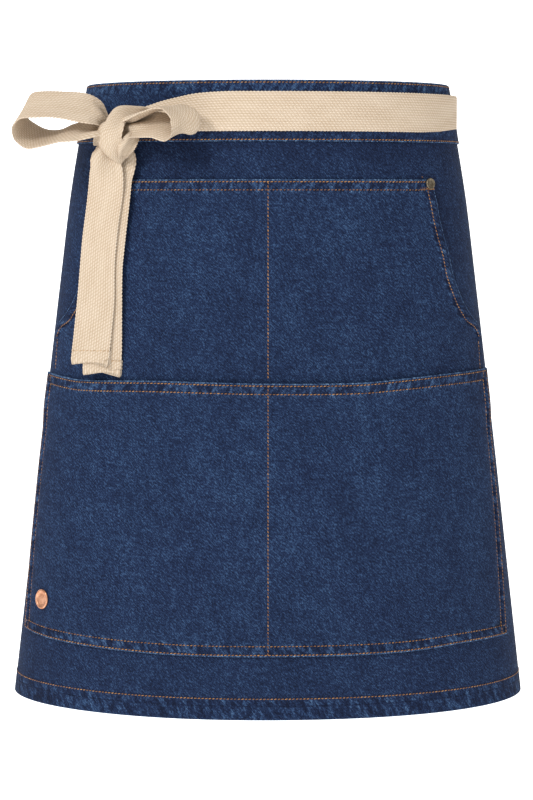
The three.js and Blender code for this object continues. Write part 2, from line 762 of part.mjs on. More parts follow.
// Corners of half the section from the washer's centre to the cap's, out from the form.
function studProfile(capRadius, capHeight, seat, back, rimShare) {
  return [
    { radius: 0, out: back - washerThickness },
    { radius: washerRadius, out: back - washerThickness },
    { radius: washerRadius, out: back },
    { radius: postRadius, out: back },
    { radius: postRadius, out: seat },
    { radius: capRadius * 0.94, out: seat },
    { radius: capRadius, out: seat + capHeight * 0.35 },
    { radius: capRadius * 0.9, out: seat + capHeight },
    { radius: capRadius * 0.72, out: seat + capHeight },
    { radius: capRadius * 0.62, out: seat + capHeight * rimShare },
    { radius: 0, out: seat + capHeight * rimShare },
  ];
}

const ROUND_SEGMENTS = 16;
const rivetSeat = upperPocketFrom + 2 * denimThickness + layerGap;
const rivetProfile = studProfile(rivetDiameter / 2, rivetCapHeight, rivetSeat, panelInnerOffset - layerGap, 0.6);
const badgeSeat = lowerPocketFrom + denimThickness + layerGap;
const badgeBack = lowerPocketFrom - layerGap;
const badgeProfile = studProfile(badgeDiameter / 2, badgeHeight, badgeSeat, badgeBack, 0.6);

function postHole(arc, drop) {
  const profile = [
    { radius: 0, out: -20 },
    { radius: postRadius + postClearance, out: -20 },
    { radius: postRadius + postClearance, out: 20 },
    { radius: 0, out: 20 },
  ];
  return turnedSolid(profile, ROUND_SEGMENTS / 2, arc, drop);
}

// Assembly

const cutByKnot = knotSolid(layerGap);
const rivetHoles = [-rivetArc, rivetArc].map((arc) => postHole(arc, rivetDrop));

function without(solid, tools) {
  return tools.reduce((rest, tool) => rest.subtract(tool), solid);
}

// The largest piece of a body, when a cut leaves crumbs.
function largest(solid) {
  return solid.decompose().reduce((best, piece) => (piece.volume() > best.volume() ? piece : best));
}

const denim = new THREE.MeshStandardMaterial({ color: 0x2b3a58, roughness: 0.95 });
const pocketDenim = new THREE.MeshStandardMaterial({ color: 0x34456a, roughness: 0.95 });
const webbing = new THREE.MeshStandardMaterial({ color: 0xd8c2a7, roughness: 0.9 });
const brass = new THREE.MeshStandardMaterial({ color: 0x8c7440, metalness: 0.8, roughness: 0.4 });
const copper = new THREE.MeshStandardMaterial({ color: 0xb9734b, metalness: 0.8, roughness: 0.35 });

const apron = new THREE.Group();

function add(name, solid, material) {
  const mesh = new THREE.Mesh(geometryOf(solid), material);
  mesh.name = name;
  apron.add(mesh);
}

add("apron_panel", without(solidFrom(panelGeometry()), rivetHoles), denim);
add("waistband", solidFrom(waistbandGeometry()), denim);
add("upper_pocket", without(solidFrom(upperPocketGeometry()), rivetHoles), pocketDenim);
add("lower_pocket", without(solidFrom(lowerPocketGeometry()), [postHole(badgeArc, badgeDrop)]), pocketDenim);
add("belt", largest(without(solidFrom(beltGeometry()), [cutByKnot])), webbing);
add("knot", knotSolid(0), webbing);
add("bow_loop_left", largest(without(solidFrom(loopGeometry(leftLoopTable)), [cutByKnot])), webbing);
add("bow_loop_right", largest(without(solidFrom(loopGeometry(rightLoopTable)), [cutByKnot])), webbing);
add("tail_front", largest(without(solidFrom(tailGeometry(frontTailTable, frontTailLength)), [cutByKnot])), webbing);
add("tail_back", largest(without(solidFrom(tailGeometry(backTailTable, backTailLength)), [cutByKnot])), webbing);
add("rivet_left", turnedSolid(rivetProfile, ROUND_SEGMENTS, -rivetArc, rivetDrop), brass);
add("rivet_right", turnedSolid(rivetProfile, ROUND_SEGMENTS, rivetArc, rivetDrop), brass);
add("badge", turnedSolid(badgeProfile, ROUND_SEGMENTS + 4, badgeArc, badgeDrop), copper);

export default apron;
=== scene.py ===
import bisect
import functools
import itertools
import math
import random
import bmesh
import bpy
from mathutils import Matrix, Vector


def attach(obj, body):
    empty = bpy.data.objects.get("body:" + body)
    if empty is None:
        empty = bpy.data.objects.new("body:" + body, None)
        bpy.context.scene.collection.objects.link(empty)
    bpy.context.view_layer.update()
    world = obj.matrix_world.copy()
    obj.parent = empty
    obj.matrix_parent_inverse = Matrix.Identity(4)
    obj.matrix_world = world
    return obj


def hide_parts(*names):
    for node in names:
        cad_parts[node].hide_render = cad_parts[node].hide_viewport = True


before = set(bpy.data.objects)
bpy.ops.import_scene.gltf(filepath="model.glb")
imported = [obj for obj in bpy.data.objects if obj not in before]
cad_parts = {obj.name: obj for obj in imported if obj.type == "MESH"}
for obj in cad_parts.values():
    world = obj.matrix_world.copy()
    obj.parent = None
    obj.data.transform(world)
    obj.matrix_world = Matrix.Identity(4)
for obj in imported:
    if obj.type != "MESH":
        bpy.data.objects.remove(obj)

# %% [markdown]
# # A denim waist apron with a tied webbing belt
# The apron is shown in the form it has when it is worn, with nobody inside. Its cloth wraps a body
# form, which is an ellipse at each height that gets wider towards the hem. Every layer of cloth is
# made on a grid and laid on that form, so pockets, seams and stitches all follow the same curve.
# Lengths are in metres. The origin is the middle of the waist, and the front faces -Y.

random.seed(7801)
MM = 0.001
LENGTH = 622 * MM
WAIST_HALF_WIDTH = 180.5 * MM
HEM_HALF_WIDTH = 262.3 * MM
WAIST_HALF_DEPTH = 120 * MM
HEM_HALF_DEPTH = 141.5 * MM
BACK_GAP_WAIST = 120 * MM
BACK_GAP_HEM = 280 * MM
CLOTH = 1.2 * MM
LAYER_GAP = 0.6 * MM
SEAM_BAND = 9.5 * MM
BELT_WIDTH = 38 * MM
BELT_THICKNESS = 1.8 * MM
BELT_DROP = 30.3 * MM
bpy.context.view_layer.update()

# %% [markdown]
# ## The body form
# A table of a few rows says how the form flares from waist to hem. Reading it with a smooth curve
# through the rows, instead of straight steps, keeps the big surface free of creases. A place on the
# cloth is given by two numbers: the arc, measured along the cloth from the middle of the front, and
# the drop below the top edge.

# %% Body form
FLARE = [
    (0, 0), (0.095, 0.134), (0.185, 0.248), (0.284, 0.346),
    (0.416, 0.471), (0.581, 0.624), (0.782, 0.8), (1, 1),
]
RIPPLE = 0.8 * MM
RIPPLE_FROM = 70 * MM
RIPPLE_GROWTH = 200 * MM


def mix(a, b, share):
    return a + (b - a) * share


def clamp(value, low=0.0, high=1.0):
    return min(high, max(low, value))


def smooth(share):
    s = clamp(share)
    return s * s * (3 - 2 * s)


def read_curve(table, place, column=1):
    """A smooth curve through the rows of a table, held level outside it."""
    if place <= table[0][0]:
        return table[0][column]
    if place >= table[-1][0]:
        return table[-1][column]
    k = bisect.bisect_right([row[0] for row in table], place) - 1

    def slope(i):
        a, b = max(0, i - 1), min(len(table) - 1, i + 1)
        return (table[b][column] - table[a][column]) / (table[b][0] - table[a][0])

    width = table[k + 1][0] - table[k][0]
    t = (place - table[k][0]) / width
    start, end = table[k][column], table[k + 1][column]
    bend = slope(k) * width * t * (1 - t) ** 2 - slope(k + 1) * width * t * t * (1 - t)
    return start + (end - start) * t * t * (3 - 2 * t) + bend


def half_width(drop):
    return mix(WAIST_HALF_WIDTH, HEM_HALF_WIDTH, read_curve(FLARE, drop / LENGTH))


def half_depth(drop):
    return mix(WAIST_HALF_DEPTH, HEM_HALF_DEPTH, drop / LENGTH)


def running(steps):
    """The sums of the steps so far, from 0."""
    return [0.0, *itertools.accumulate(steps)]


def locate(lengths, wanted):
    """The item of a rising list that a length comes after, and its share of the way to the next."""
    k = min(len(lengths) - 2, max(0, bisect.bisect_right(lengths, wanted) - 1))
    return k, (wanted - lengths[k]) / max(1e-9, lengths[k + 1] - lengths[k])


@functools.lru_cache(maxsize=None)
def walked(half_mm):
    """Length along the form at each degree from front to back, at a drop in half millimetres."""
    a, b = half_width(half_mm * MM / 2), half_depth(half_mm * MM / 2)
    middles = [math.radians(degree + 0.5) for degree in range(180)]
    return running(
        math.hypot(a * math.cos(middle), b * math.sin(middle)) * math.radians(1) for middle in middles
    )


def lengths_at(drop):
    return walked(round(drop / MM * 2))


def angle_at(arc, drop):
    degree, share = locate(lengths_at(drop), abs(arc))
    return math.copysign(math.radians(degree + share), arc)


def arc_at(angle, drop):
    lengths, degrees = lengths_at(drop), math.degrees(abs(angle))
    k = min(len(lengths) - 2, int(degrees))
    return math.copysign(mix(lengths[k], lengths[k + 1], degrees - k), angle)


def form_frame(angle, drop):
    """Point on the form, the way along the cloth and the way out of it."""
    a, b = half_width(drop), half_depth(drop)
    point = Vector((a * math.sin(angle), -b * math.cos(angle), BELT_DROP - drop))
    normal = Vector((math.sin(angle) / a, -math.cos(angle) / b, 0)).normalized()
    return point, Vector((-normal.y, normal.x, 0)), normal


def ripple(arc, drop):
    """Slight waves that stiff cloth has when it hangs. All layers share them, so they stay nested."""
    start = smooth((drop - RIPPLE_FROM) / RIPPLE_GROWTH)
    slow = math.sin(11 * arc + 0.8) * math.sin(9 * drop + 0.4)
    quick = math.sin(23 * arc - 7 * drop + 2) * 0.5
    return RIPPLE * start * (slow + quick)


def on_form(arc, drop, out):
    point, _, normal = form_frame(angle_at(arc, drop), drop)
    return point + normal * (out + ripple(arc, drop))


print("waist", round(2 * half_width(0), 3), "hem", round(2 * half_width(LENGTH), 3))

# %% [markdown]
# ## Sheets, straps and stitches
# Three helpers make nearly everything. A sheet is two grids, the outside and the inside of the cloth,
# with their rims bridged, so it is a closed body with its real thickness. A strap is an outline swept
# through stations. A stitch is a small lump of thread, and a seam is that lump copied along a line.
# Wear and painted shade are stored on the sheets too, as one number at each point that says how pale
# or dark the cloth is there.

# %% Helper for sheets
ROUNDING = 0.8 * MM
THINNEST_SHARE = 0.35
UPPER_DROP = 95.4 * MM
UPPER_HALF_TOP = 172.2 * MM
OPENING_DEPTH = 158 * MM
OPENING_REACH = 77 * MM
OPENING = [
    (0, 0), (0.057, 0.006), (0.144, 0.051), (0.245, 0.085), (0.353, 0.135), (0.455, 0.195),
    (0.579, 0.255), (0.681, 0.36), (0.779, 0.505), (0.863, 0.705), (0.927, 0.92), (1, 1),
]
# Painted shadow: a darker strip on the panel beside the upper pocket's side edge, where the pocket
# stands off it
POCKET_SHADOW = 0.30
POCKET_SHADOW_WIDTH = 6 * MM

# Places washed paler, and below zero painted shade: arc, drop, half length across and down, lean and
# strength
FADES_AND_SHADE = [
    # Painted shade on the panel just under the waistband
    (0, 66, 400, 13, 0, -0.10),
    (-12, 76, 4, 13, 0.2, 0.14),
    (-5, 66, 3, 10, 0.1, 0.12),
    (93, 330, 5, 22, 0.15, 0.13),
    (103, 392, 9, 24, -0.35, 0.10),
    (86, 372, 4, 30, 0.1, 0.09),
    (120, 300, 8, 10, 0.3, 0.08),
    (-60, 160, 30, 22, 0.5, 0.05),
    (70, 150, 26, 30, -0.4, 0.05),
    (-190, 420, 22, 50, 0.1, 0.05),
    (215, 470, 16, 60, 0.1, 0.05),
    (-20, 420, 40, 60, 0.2, 0.04),
]


def upper_edge(drop):
    """The arc of the upper pocket's curved side edge."""
    share = (drop - UPPER_DROP) / OPENING_DEPTH
    return UPPER_HALF_TOP + OPENING_REACH * read_curve(OPENING, share)


def fade_and_shade_at(arc, drop):
    """How much paler the cloth is from washing here, less the painted shadow beside the pocket and the
    painted shade under the waistband.
    """
    total = 0.0
    # Painted shadow on the panel beside the upper pocket's side edge
    beyond = abs(arc) - upper_edge(drop)
    if beyond > 0 and UPPER_DROP < drop < UPPER_DROP + OPENING_DEPTH + POCKET_SHADOW_WIDTH:
        total -= POCKET_SHADOW * math.exp(-((beyond / POCKET_SHADOW_WIDTH) ** 2))
    for place, depth, wide, tall, lean, strength in FADES_AND_SHADE:
        down = (drop / MM - depth) / tall
        across = (arc / MM - place - lean * (drop / MM - depth)) / wide
        total += strength * math.exp(-down * down - across * across)
    return total


def stations(first, last, low, high, count):
    """Places between two ends: fixed ones near both ends, and count even steps in the middle."""
    length = last - first
    middle = [mix(low[-1], length - high[-1], k / count) for k in range(1, count)]
    return [first + x for x in [*low, *middle, *(length - x for x in reversed(high))]]


def rounded(outer, inner, edge):
    """Brings the two faces together near an edge, as a fold does."""
    half = (outer - inner) / 2
    away = clamp(1 - edge / ROUNDING)
    half *= max(THINNEST_SHARE, math.sqrt(max(0.0, 1 - away * away)))
    middle = (outer + inner) / 2
    return middle + half, middle - half


def write_maps(bm, labels, places_at):
    """Texture maps for a mesh. places_at(vertex) gives the vertex's place in each of them."""
    layers = [bm.loops.layers.uv.new(label) for label in labels]
    for face in bm.faces:
        for loop in face.loops:
            for layer, place in zip(layers, places_at(loop.vert)):
                loop[layer].uv = place


def shade_and_link(bm, name, materials):
    bmesh.ops.recalc_face_normals(bm, faces=bm.faces[:])
    mesh = bpy.data.meshes.new(name)
    bm.to_mesh(mesh)
    bm.free()
    mesh.polygons.foreach_set("use_smooth", [True] * len(mesh.polygons))
    for material in materials:
        mesh.materials.append(material)
    obj = bpy.data.objects.new(name, mesh)
    bpy.context.scene.collection.objects.link(obj)
    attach(obj, "root")
    print(name, len(mesh.polygons), "faces")
    return obj


def stands_for(obj, node):
    """The piece takes the place of a CAD solid, which is hidden."""
    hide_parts(node)
    return obj


def make_sheet(name, node, drops, arcs_at, place, outside):
    """place(arc, drop) gives the real drop, both faces' distances from the form and the seam's map."""
    columns, rows = len(arcs_at(drops[0])), len(drops)
    bm = bmesh.new()
    # Wash fades and painted shade, one number at each point
    fade_and_shade = bm.verts.layers.float.new("fade_and_shade")
    coordinates = {}
    for side in (0, 1):
        made = bmesh.ops.create_grid(bm, x_segments=columns - 1, y_segments=rows - 1, size=1)["verts"]
        for vertex in made:
            i = round((vertex.co.x + 1) / 2 * (columns - 1))
            j = round((1 - vertex.co.y) / 2 * (rows - 1))
            coordinates[vertex] = (i, j, side)
    bm.verts.index_update()
    inner_faces = []
    for face in bm.faces:
        if coordinates[face.verts[0]][2]:
            face.material_index = 1
            inner_faces.append(face)
    bmesh.ops.reverse_faces(bm, faces=inner_faces)
    open_edges = [edge for edge in bm.edges if edge.is_boundary]
    for face in bmesh.ops.bridge_loops(bm, edges=open_edges)["faces"]:
        face.material_index = 0
    texture = {}
    arcs = [arcs_at(drop) for drop in drops]
    for vertex, (i, j, side) in coordinates.items():
        arc, drop = arcs[j][i], drops[j]
        real_drop, outer, inner, along, inside = place(arc, drop)
        vertex.co = on_form(arc, real_drop, inner if side else outer)
        vertex[fade_and_shade] = fade_and_shade_at(arc, drop)
        texture[vertex] = ((arc, -drop), (along, inside))
    write_maps(bm, ["Cloth", "Seam"], texture.get)
    return stands_for(shade_and_link(bm, name, [outside, wrong_side]), node)


# %% Helper for straps
SECTION = [-1, -0.985, -0.93, -0.8, -0.6, -0.4, -0.2, 0, 0.2, 0.4, 0.6, 0.8, 0.93, 0.985, 1]
WEAVE_PITCH = 3.5 * MM
RING_STEP = WEAVE_PITCH / 4
PATH_STEPS = 20
LOOK_AHEAD = 0.02
RIM_ROUNDNESS = 14
THINNEST_RIM = 0.2
SCALLOPED_FROM = 0.95
SCALLOP = 0.22 * MM
SPARE_CLOTH = 1.06
PLEAT_SHARE = 0.17
DEEPEST_PLEAT = 3.2 * MM


def spline(values, place):
    """A smooth curve through a list of vectors or numbers, place being counted in items."""
    k = min(len(values) - 2, int(place))
    t = place - k
    b, c = values[k], values[k + 1]
    a = values[k - 1] if k else b * 2 - c
    d = values[k + 2] if k + 2 < len(values) else c * 2 - b
    square = (a * 2 - b * 5 + c * 4 - d) * t * t
    return (b * 2 + (c - a) * t + square + (b * 3 - a - c * 3 + d) * t ** 3) * 0.5


def strap_rings(path):
    """Even steps along a path of stations, each (centre, edge direction, width, thickness, cup)."""
    columns = list(zip(*path))
    finest = [k / PATH_STEPS for k in range(PATH_STEPS * (len(path) - 1) + 1)]
    centres = [spline(columns[0], place) for place in finest]
    lengths = running((after - before).length for before, after in zip(centres, centres[1:]))
    count = max(2, round(lengths[-1] / RING_STEP))
    rings = []
    for k in range(count + 1):
        wanted = lengths[-1] * k / count
        i, share = locate(lengths, wanted)
        place = mix(finest[i], finest[i + 1], clamp(share))
        near = min(place + LOOK_AHEAD, len(path) - 1)
        along = (spline(columns[0], near) - spline(columns[0], near - 2 * LOOK_AHEAD)).normalized()
        edge = spline(columns[1], place)
        edge = (edge - along * edge.dot(along)).normalized()
        face = along.cross(edge).normalized()
        width, thickness, cup = (spline(column, place) for column in columns[2:])
        rings.append((spline(columns[0], place), edge, face, width, thickness, cup, wanted))
    return rings


def pleats(width):
    """Depth of the folds that take up a strap's cloth where it is narrower than it was woven."""
    spare = max(0.0, BELT_WIDTH / width - SPARE_CLOTH)
    return min(DEEPEST_PLEAT, PLEAT_SHARE * width * math.sqrt(spare))


def sweep(name, node, count, rings, place, maps, material):
    """A closed outline of count points carried through rings.

    place(k, j) gives a point and its place in each map."""
    bm = bmesh.new()
    texture = {}
    grid = bmesh.ops.create_grid(bm, x_segments=count, y_segments=rings - 1, size=1)
    for vertex in grid["verts"]:
        k = round((vertex.co.x + 1) / 2 * count)
        j = round((vertex.co.y + 1) / 2 * (rings - 1))
        vertex.co, texture[vertex] = place(k % count, j)
    write_maps(bm, maps, texture.get)
    bmesh.ops.remove_doubles(bm, verts=bm.verts[:], dist=1e-6)
    open_edges = [edge for edge in bm.edges if edge.is_boundary]
    caps = bmesh.ops.holes_fill(bm, edges=open_edges, sides=0)["faces"]
    bmesh.ops.triangulate(bm, faces=caps)
    return stands_for(shade_and_link(bm, name, [material]), node)


def make_strap(name, node, path, folds=3):
    """Webbing with rounded edges, scallops where the weft turns, and pleats where it is narrow."""
    rings = strap_rings(path)
    outline = [(s, 1) for s in SECTION] + [(s, -1) for s in reversed(SECTION[1:-1])]

    def place(k, j):
        s, side = outline[k]
        centre, edge, face, width, thickness, cup, along = rings[j]
        edge_side = math.copysign(1, s)
        wave = math.cos(2 * math.pi * along / WEAVE_PITCH + edge_side)
        scallop = SCALLOP * wave if abs(s) > SCALLOPED_FROM else 0
        rim = math.sqrt(max(0.0, 1 - abs(s) ** RIM_ROUNDNESS))
        half = thickness / 2 * max(THINNEST_RIM, rim)
        fold = pleats(width) * math.sin(math.pi * folds * (s + 1) / 2)
        sideways = s * width / 2 + edge_side * scallop
        point = centre + edge * sideways + face * (side * half + fold - cup * s * s)
        return point, [(s * BELT_WIDTH / 2, along)]

    obj = sweep(name, node, len(outline), len(rings), place, ["Strap"], webbing_finish)
    obj["strap_length"] = rings[-1][-1]
    return obj


# %% Helper for stitches
STITCH_PITCH = 3.55 * MM
STITCH_LENGTH = 2.75 * MM
STITCH_WIDTH = 1.0 * MM
STITCH_HEIGHT = 0.7 * MM
STITCH_LIFT = 0.06 * MM
STITCH_SLANT = 0.22

stitch = bpy.data.meshes.new("OneStitch")
lump = bmesh.new()
lengthwise = Matrix.Rotation(math.pi / 2, 4, "Y")
bmesh.ops.create_uvsphere(lump, u_segments=6, v_segments=5, radius=0.5, matrix=lengthwise)
lump.to_mesh(stitch)
lump.free()


def seam_places(line):
    """Both ends of each stitch on a line of (arc, drop) points."""
    lengths = running(math.dist(before, after) for before, after in zip(line, line[1:]))
    count = max(1, round(lengths[-1] / STITCH_PITCH))
    half = 0.5 * STITCH_LENGTH / STITCH_PITCH
    places = []
    for k in range(count):
        for share in (0.5 - half, 0.5 + half):
            i, part = locate(lengths, lengths[-1] * (k + share) / count)
            places.append(tuple(mix(a, b, part) for a, b in zip(line[i], line[i + 1])))
    return list(zip(places[::2], places[1::2]))


def make_seams(name, lines, place, inside=False):
    """Rows of stitches. place is the sheet's own, and inside puts them on its other face."""
    bm = bmesh.new()
    shade = bm.verts.layers.float.new("shade")
    for line in lines:
        for ends in seam_places(line):
            points = []
            for arc, drop in ends:
                real_drop, outer, inner = place(arc, drop)[:3]
                out = inner - STITCH_LIFT if inside else outer + STITCH_LIFT
                points.append(on_form(arc, real_drop, out))
            arc, drop = ends[0]
            normal = form_frame(angle_at(arc, drop), drop)[2]
            add_stitch(bm, *points, normal, shade)
    return shade_and_link(bm, name, [thread_finish])


def add_stitch(bm, start, end, normal, shade):
    along = (end - start).normalized()
    across = normal.cross(along).normalized()
    up = along.cross(across)
    along = (along + across * STITCH_SLANT).normalized()
    across = up.cross(along)
    width = STITCH_WIDTH * random.uniform(0.85, 1.1)
    sizes = (along * (end - start).length, across * width, up * STITCH_HEIGHT)
    matrix = Matrix.Identity(4)
    for column, size in enumerate(sizes):
        matrix.col[column].xyz = size
    matrix.translation = (start + end) / 2
    before = len(bm.verts)
    bm.from_mesh(stitch)
    bm.verts.ensure_lookup_table()
    new = bm.verts[before:]
    bmesh.ops.transform(bm, matrix=matrix, verts=new)
    tone = random.random()
    for vertex in new:
        vertex[shade] = tone


print("one stitch has", len(stitch.polygons), "faces")

# %% [markdown]
# ## Finishes
# Denim is woven from indigo warp and pale weft, so up close it is a speckle of light and dark with a
# steep diagonal twill. Washing wears the high places pale: folded edges, and the puckers that form
# beside a seam when the thread draws in. The seam's map holds the distance from the nearest edge,
# which says where that wear is, and where painted shade darkens the stitch rows and the waistband
# under the belt.

# %% Shader helper
class Finish:
    """Short calls that add nodes to one material."""

    def __init__(self, name):
        self.material = bpy.data.materials.new(name)
        self.material["slot"] = name
        self.material.use_nodes = True
        self.tree = self.material.node_tree
        self.shader = self.tree.nodes["Principled BSDF"]

    def put(self, socket, value):
        if isinstance(value, bpy.types.NodeSocket):
            self.tree.links.new(value, socket)
        elif value is not None:
            socket.default_value = value

    def node(self, kind, inputs=(), out=0, **settings):
        node = self.tree.nodes.new(kind)
        for key, value in settings.items():
            setattr(node, key, value)
        for key, value in dict(inputs).items():
            self.put(node.inputs[key], value)
        return node.outputs[out]

    def math(self, operation, a, b=None, c=None):
        inputs = {k: v for k, v in enumerate((a, b, c)) if v is not None}
        return self.node("ShaderNodeMath", inputs, operation=operation)

    def times(self, a, b, plus=None):
        return self.math("MULTIPLY" if plus is None else "MULTIPLY_ADD", a, b, plus)

    def mixed(self, total, *parts):
        """Adds several values to a total, each times its weight."""
        for value, weight in parts:
            total = self.times(value, weight, total)
        return total

    def uv(self, name, x, y, x_by_y=0.0):
        """The x and y of a map, each times a number, as one vector. x_by_y leans x with y."""
        place = self.node("ShaderNodeUVMap", uv_map=name)
        split = self.tree.nodes.new("ShaderNodeSeparateXYZ")
        self.put(split.inputs[0], place)
        across = self.times(split.outputs[0], x)
        leaned = self.times(split.outputs[1], x_by_y, across)
        down = self.times(split.outputs[1], y)
        return self.node("ShaderNodeCombineXYZ", {0: leaned, 1: down}), leaned, down

    def noise(self, name, x, y, x_by_y=0.0, detail=2.0):
        """Noise on a map, with x and y patches to the metre, spread so that it fills 0 to 1."""
        vector = self.uv(name, x, y, x_by_y)[0]
        inputs = {"Vector": vector, "Scale": 1.0, "Detail": detail, "Roughness": 0.55}
        return self.ramp(self.node("ShaderNodeTexNoise", inputs), 0.3, 0.7)

    def ramp(self, value, low, high):
        inputs = {"Value": value, "From Min": low, "From Max": high}
        return self.node("ShaderNodeMapRange", inputs, interpolation_type="SMOOTHSTEP")

    def strip(self, value, low, high, soft):
        """1 between two distances and 0 outside them, with soft borders."""
        rise = self.ramp(value, low - soft, low + soft)
        fall = self.ramp(value, high + soft, high - soft)
        return self.times(rise, fall)

    def colours(self, value, stops):
        node = self.tree.nodes.new("ShaderNodeValToRGB")
        while len(node.color_ramp.elements) < len(stops):
            node.color_ramp.elements.new(0.5)
        for element, (position, colour) in zip(node.color_ramp.elements, stops):
            element.position = position
            element.color = (*colour, 1)
        self.put(node.inputs[0], value)
        return node.outputs[0]

    def grain(self, scale, detail):
        """Noise in the object's own coordinates."""
        place = self.tree.nodes.new("ShaderNodeTexCoord").outputs["Object"]
        return self.node("ShaderNodeTexNoise", {"Vector": place, "Scale": scale, "Detail": detail})

    def finish(self, colour, height=None, depth=0.2 * MM, rough=0.8, metal=0.0, specular=0.3):
        self.put(self.shader.inputs["Base Color"], colour)
        self.put(self.shader.inputs["Roughness"], rough)
        self.shader.inputs["Metallic"].default_value = metal
        self.shader.inputs["Specular IOR Level"].default_value = specular
        self.shader.inputs["Sheen Weight"].default_value = 0.0
        if height is not None:
            bump = self.node("ShaderNodeBump", {"Strength": 1.0, "Distance": depth, "Height": height})
            self.put(self.shader.inputs["Normal"], bump)
        return self.material


# %% Denim
# Distances from the cloth's edge are in millimetres in this cell
BAND_ROWS = [2.7, 57.2]
TWILL_PITCH = 2.1
WRONG_TWILL_PITCH = 1.15
GROUND_TONE = -0.14
NAVY = (0.0042, 0.0078, 0.023)
INDIGO = (0.0105, 0.0215, 0.059)
WORN = (0.038, 0.080, 0.165)
PALE = (0.15, 0.24, 0.36)
WRONG_STOPS = [(0.1, (0.05, 0.08, 0.15)), (0.55, (0.17, 0.22, 0.31)), (1.0, (0.42, 0.47, 0.53))]


def twill_lines(f, x, y, pitch, wobble=0.0):
    """Diagonal ribs, from 0 to 1, on the cloth's map."""
    across, down = f.uv("Cloth", x, y)[1:]
    diagonal = f.times(f.math("ADD", across, down), 2 * math.pi / pitch, wobble)
    return f.times(f.math("SINE", diagonal), 0.5, 0.5)


def denim(name, rows, pucker_and_shade_strips, worn, lift):
    """rows are the stitch rows' distances from the edge. Pucker strips are from, to, strength and
    tint, a tint below zero being painted shade, and worn strips are from and to."""
    f = Finish(name)
    twill = twill_lines(f, 1000, 800, TWILL_PITCH, f.times(f.noise("Cloth", 200, 200), 2.2))
    speck = f.noise("Cloth", 640, 560, 160, detail=1)
    hatch = f.noise("Cloth", 620, 230, 620, detail=1)
    fibre = f.noise("Cloth", 1500, 1100, 300)
    slub = f.noise("Cloth", 520, 60, 20)
    mottle = f.noise("Cloth", 130, 90, 25)
    cloud = f.noise("Cloth", 52, 34, 20)
    wash = f.noise("Cloth", 17, 9, detail=3)
    inside = f.uv("Seam", 1 / MM, 1 / MM)[2]
    pucker = f.noise("Seam", 190, 75, 70)
    pucker_zone, tinted_and_shaded, groove_and_shade, edge = 0.0, 0.0, 0.0, 0.0
    # A tint above zero is wear, and a tint below zero is painted shade
    for low, high, strength, tint_and_shade in pucker_and_shade_strips:
        zone = f.strip(inside, low, high, 1.5)
        pucker_zone = f.times(zone, strength, pucker_zone)
        tinted_and_shaded = f.times(zone, tint_and_shade, tinted_and_shaded)
    # Stitch rows sink into the cloth: a real groove in the bump, and painted shade that darkens them
    for row in rows:
        groove_and_shade = f.math("ADD", f.strip(inside, row - 0.5, row + 0.5, 0.6), groove_and_shade)
    for low, high in worn:
        edge = f.math("ADD", f.strip(inside, low, high, 0.35), edge)
    # Wash fades from the sheets lighten the cloth, and painted shadow and shade from the sheets darken
    # it
    fade_and_shade = f.node("ShaderNodeAttribute", attribute_name="fade_and_shade", out=2)
    roped = f.times(f.math("SUBTRACT", pucker, 0.5), 0.5)
    chafe = f.times(f.noise("Seam", 330, 100), 0.44, 0.10)
    tone = f.mixed(
        lift + GROUND_TONE,
        (tinted_and_shaded, 1.0), (speck, 0.30), (hatch, 0.25), (fibre, 0.12), (twill, 0.08), (slub, 0.05),
        (mottle, 0.08), (cloud, 0.07), (wash, 0.06), (fade_and_shade, f.times(twill, 0.6, 0.5)),
        (roped, pucker_zone), (groove_and_shade, -0.12), (edge, chafe),
    )
    ridges = f.times(pucker, pucker_zone)
    height = f.mixed(0.0, (speck, 0.6), (fibre, 0.2), (twill, 0.3), (ridges, 2.4), (groove_and_shade, -1.6))
    colour = f.colours(tone, [(0.08, NAVY), (0.40, INDIGO), (0.72, WORN), (1.0, PALE)])
    return f.finish(colour, height, depth=0.3 * MM, rough=0.9, specular=0.12)


def denim_wrong_side(name):
    """The inside of the cloth, where the pale weft lies on top."""
    f = Finish(name)
    speck = f.noise("Cloth", 900, 500, detail=3)
    twill = twill_lines(f, 1000, 470, WRONG_TWILL_PITCH)
    wash = f.noise("Cloth", 25, 12)
    tone = f.mixed(0.0, (speck, 0.5), (wash, 0.2), (twill, 0.3))
    return f.finish(f.colours(tone, WRONG_STOPS), tone, depth=0.2 * MM, rough=0.9, specular=0.2)


panel_denim = denim("panel_denim", [14, 21.7], [(1.5, 20, 0.8, 0)], [(0, 0.8)], -0.04)
# The strip from 46 to 58 mm is painted shade, where the belt shades the waistband below it
waist_puckers_and_shade = [(0, 13, 0.8, 0.02), (46, 58, 0.6, -0.10)]
waist_denim = denim("waistband_denim", BAND_ROWS, waist_puckers_and_shade, [(-1, 1.1), (58.3, 60)], 0.02)
pocket_puckers = [(2.5, 12, 0.95, 0), (11, 14, 0.5, 0.05)]
pocket_denim = denim("pocket_denim", [2.3, 10.3], pocket_puckers, [(-0.5, 1.1)], -0.01)
wrong_side = denim_wrong_side("denim_wrong_side")

# %% [markdown]
# ## Webbing
# The belt is cotton webbing. Its warp shows as columns of small oval beads, each column set half a
# bead off from the next, so the surface looks like a fine basket. The bead pattern is worked out from
# the strap's own map.

# %% Webbing, thread and metals
WARP_PITCH = 2.45 * MM
CREAM = (0.63, 0.53, 0.42)
TAN = (0.42, 0.315, 0.215)
PALE_CREAM = (0.68, 0.585, 0.48)


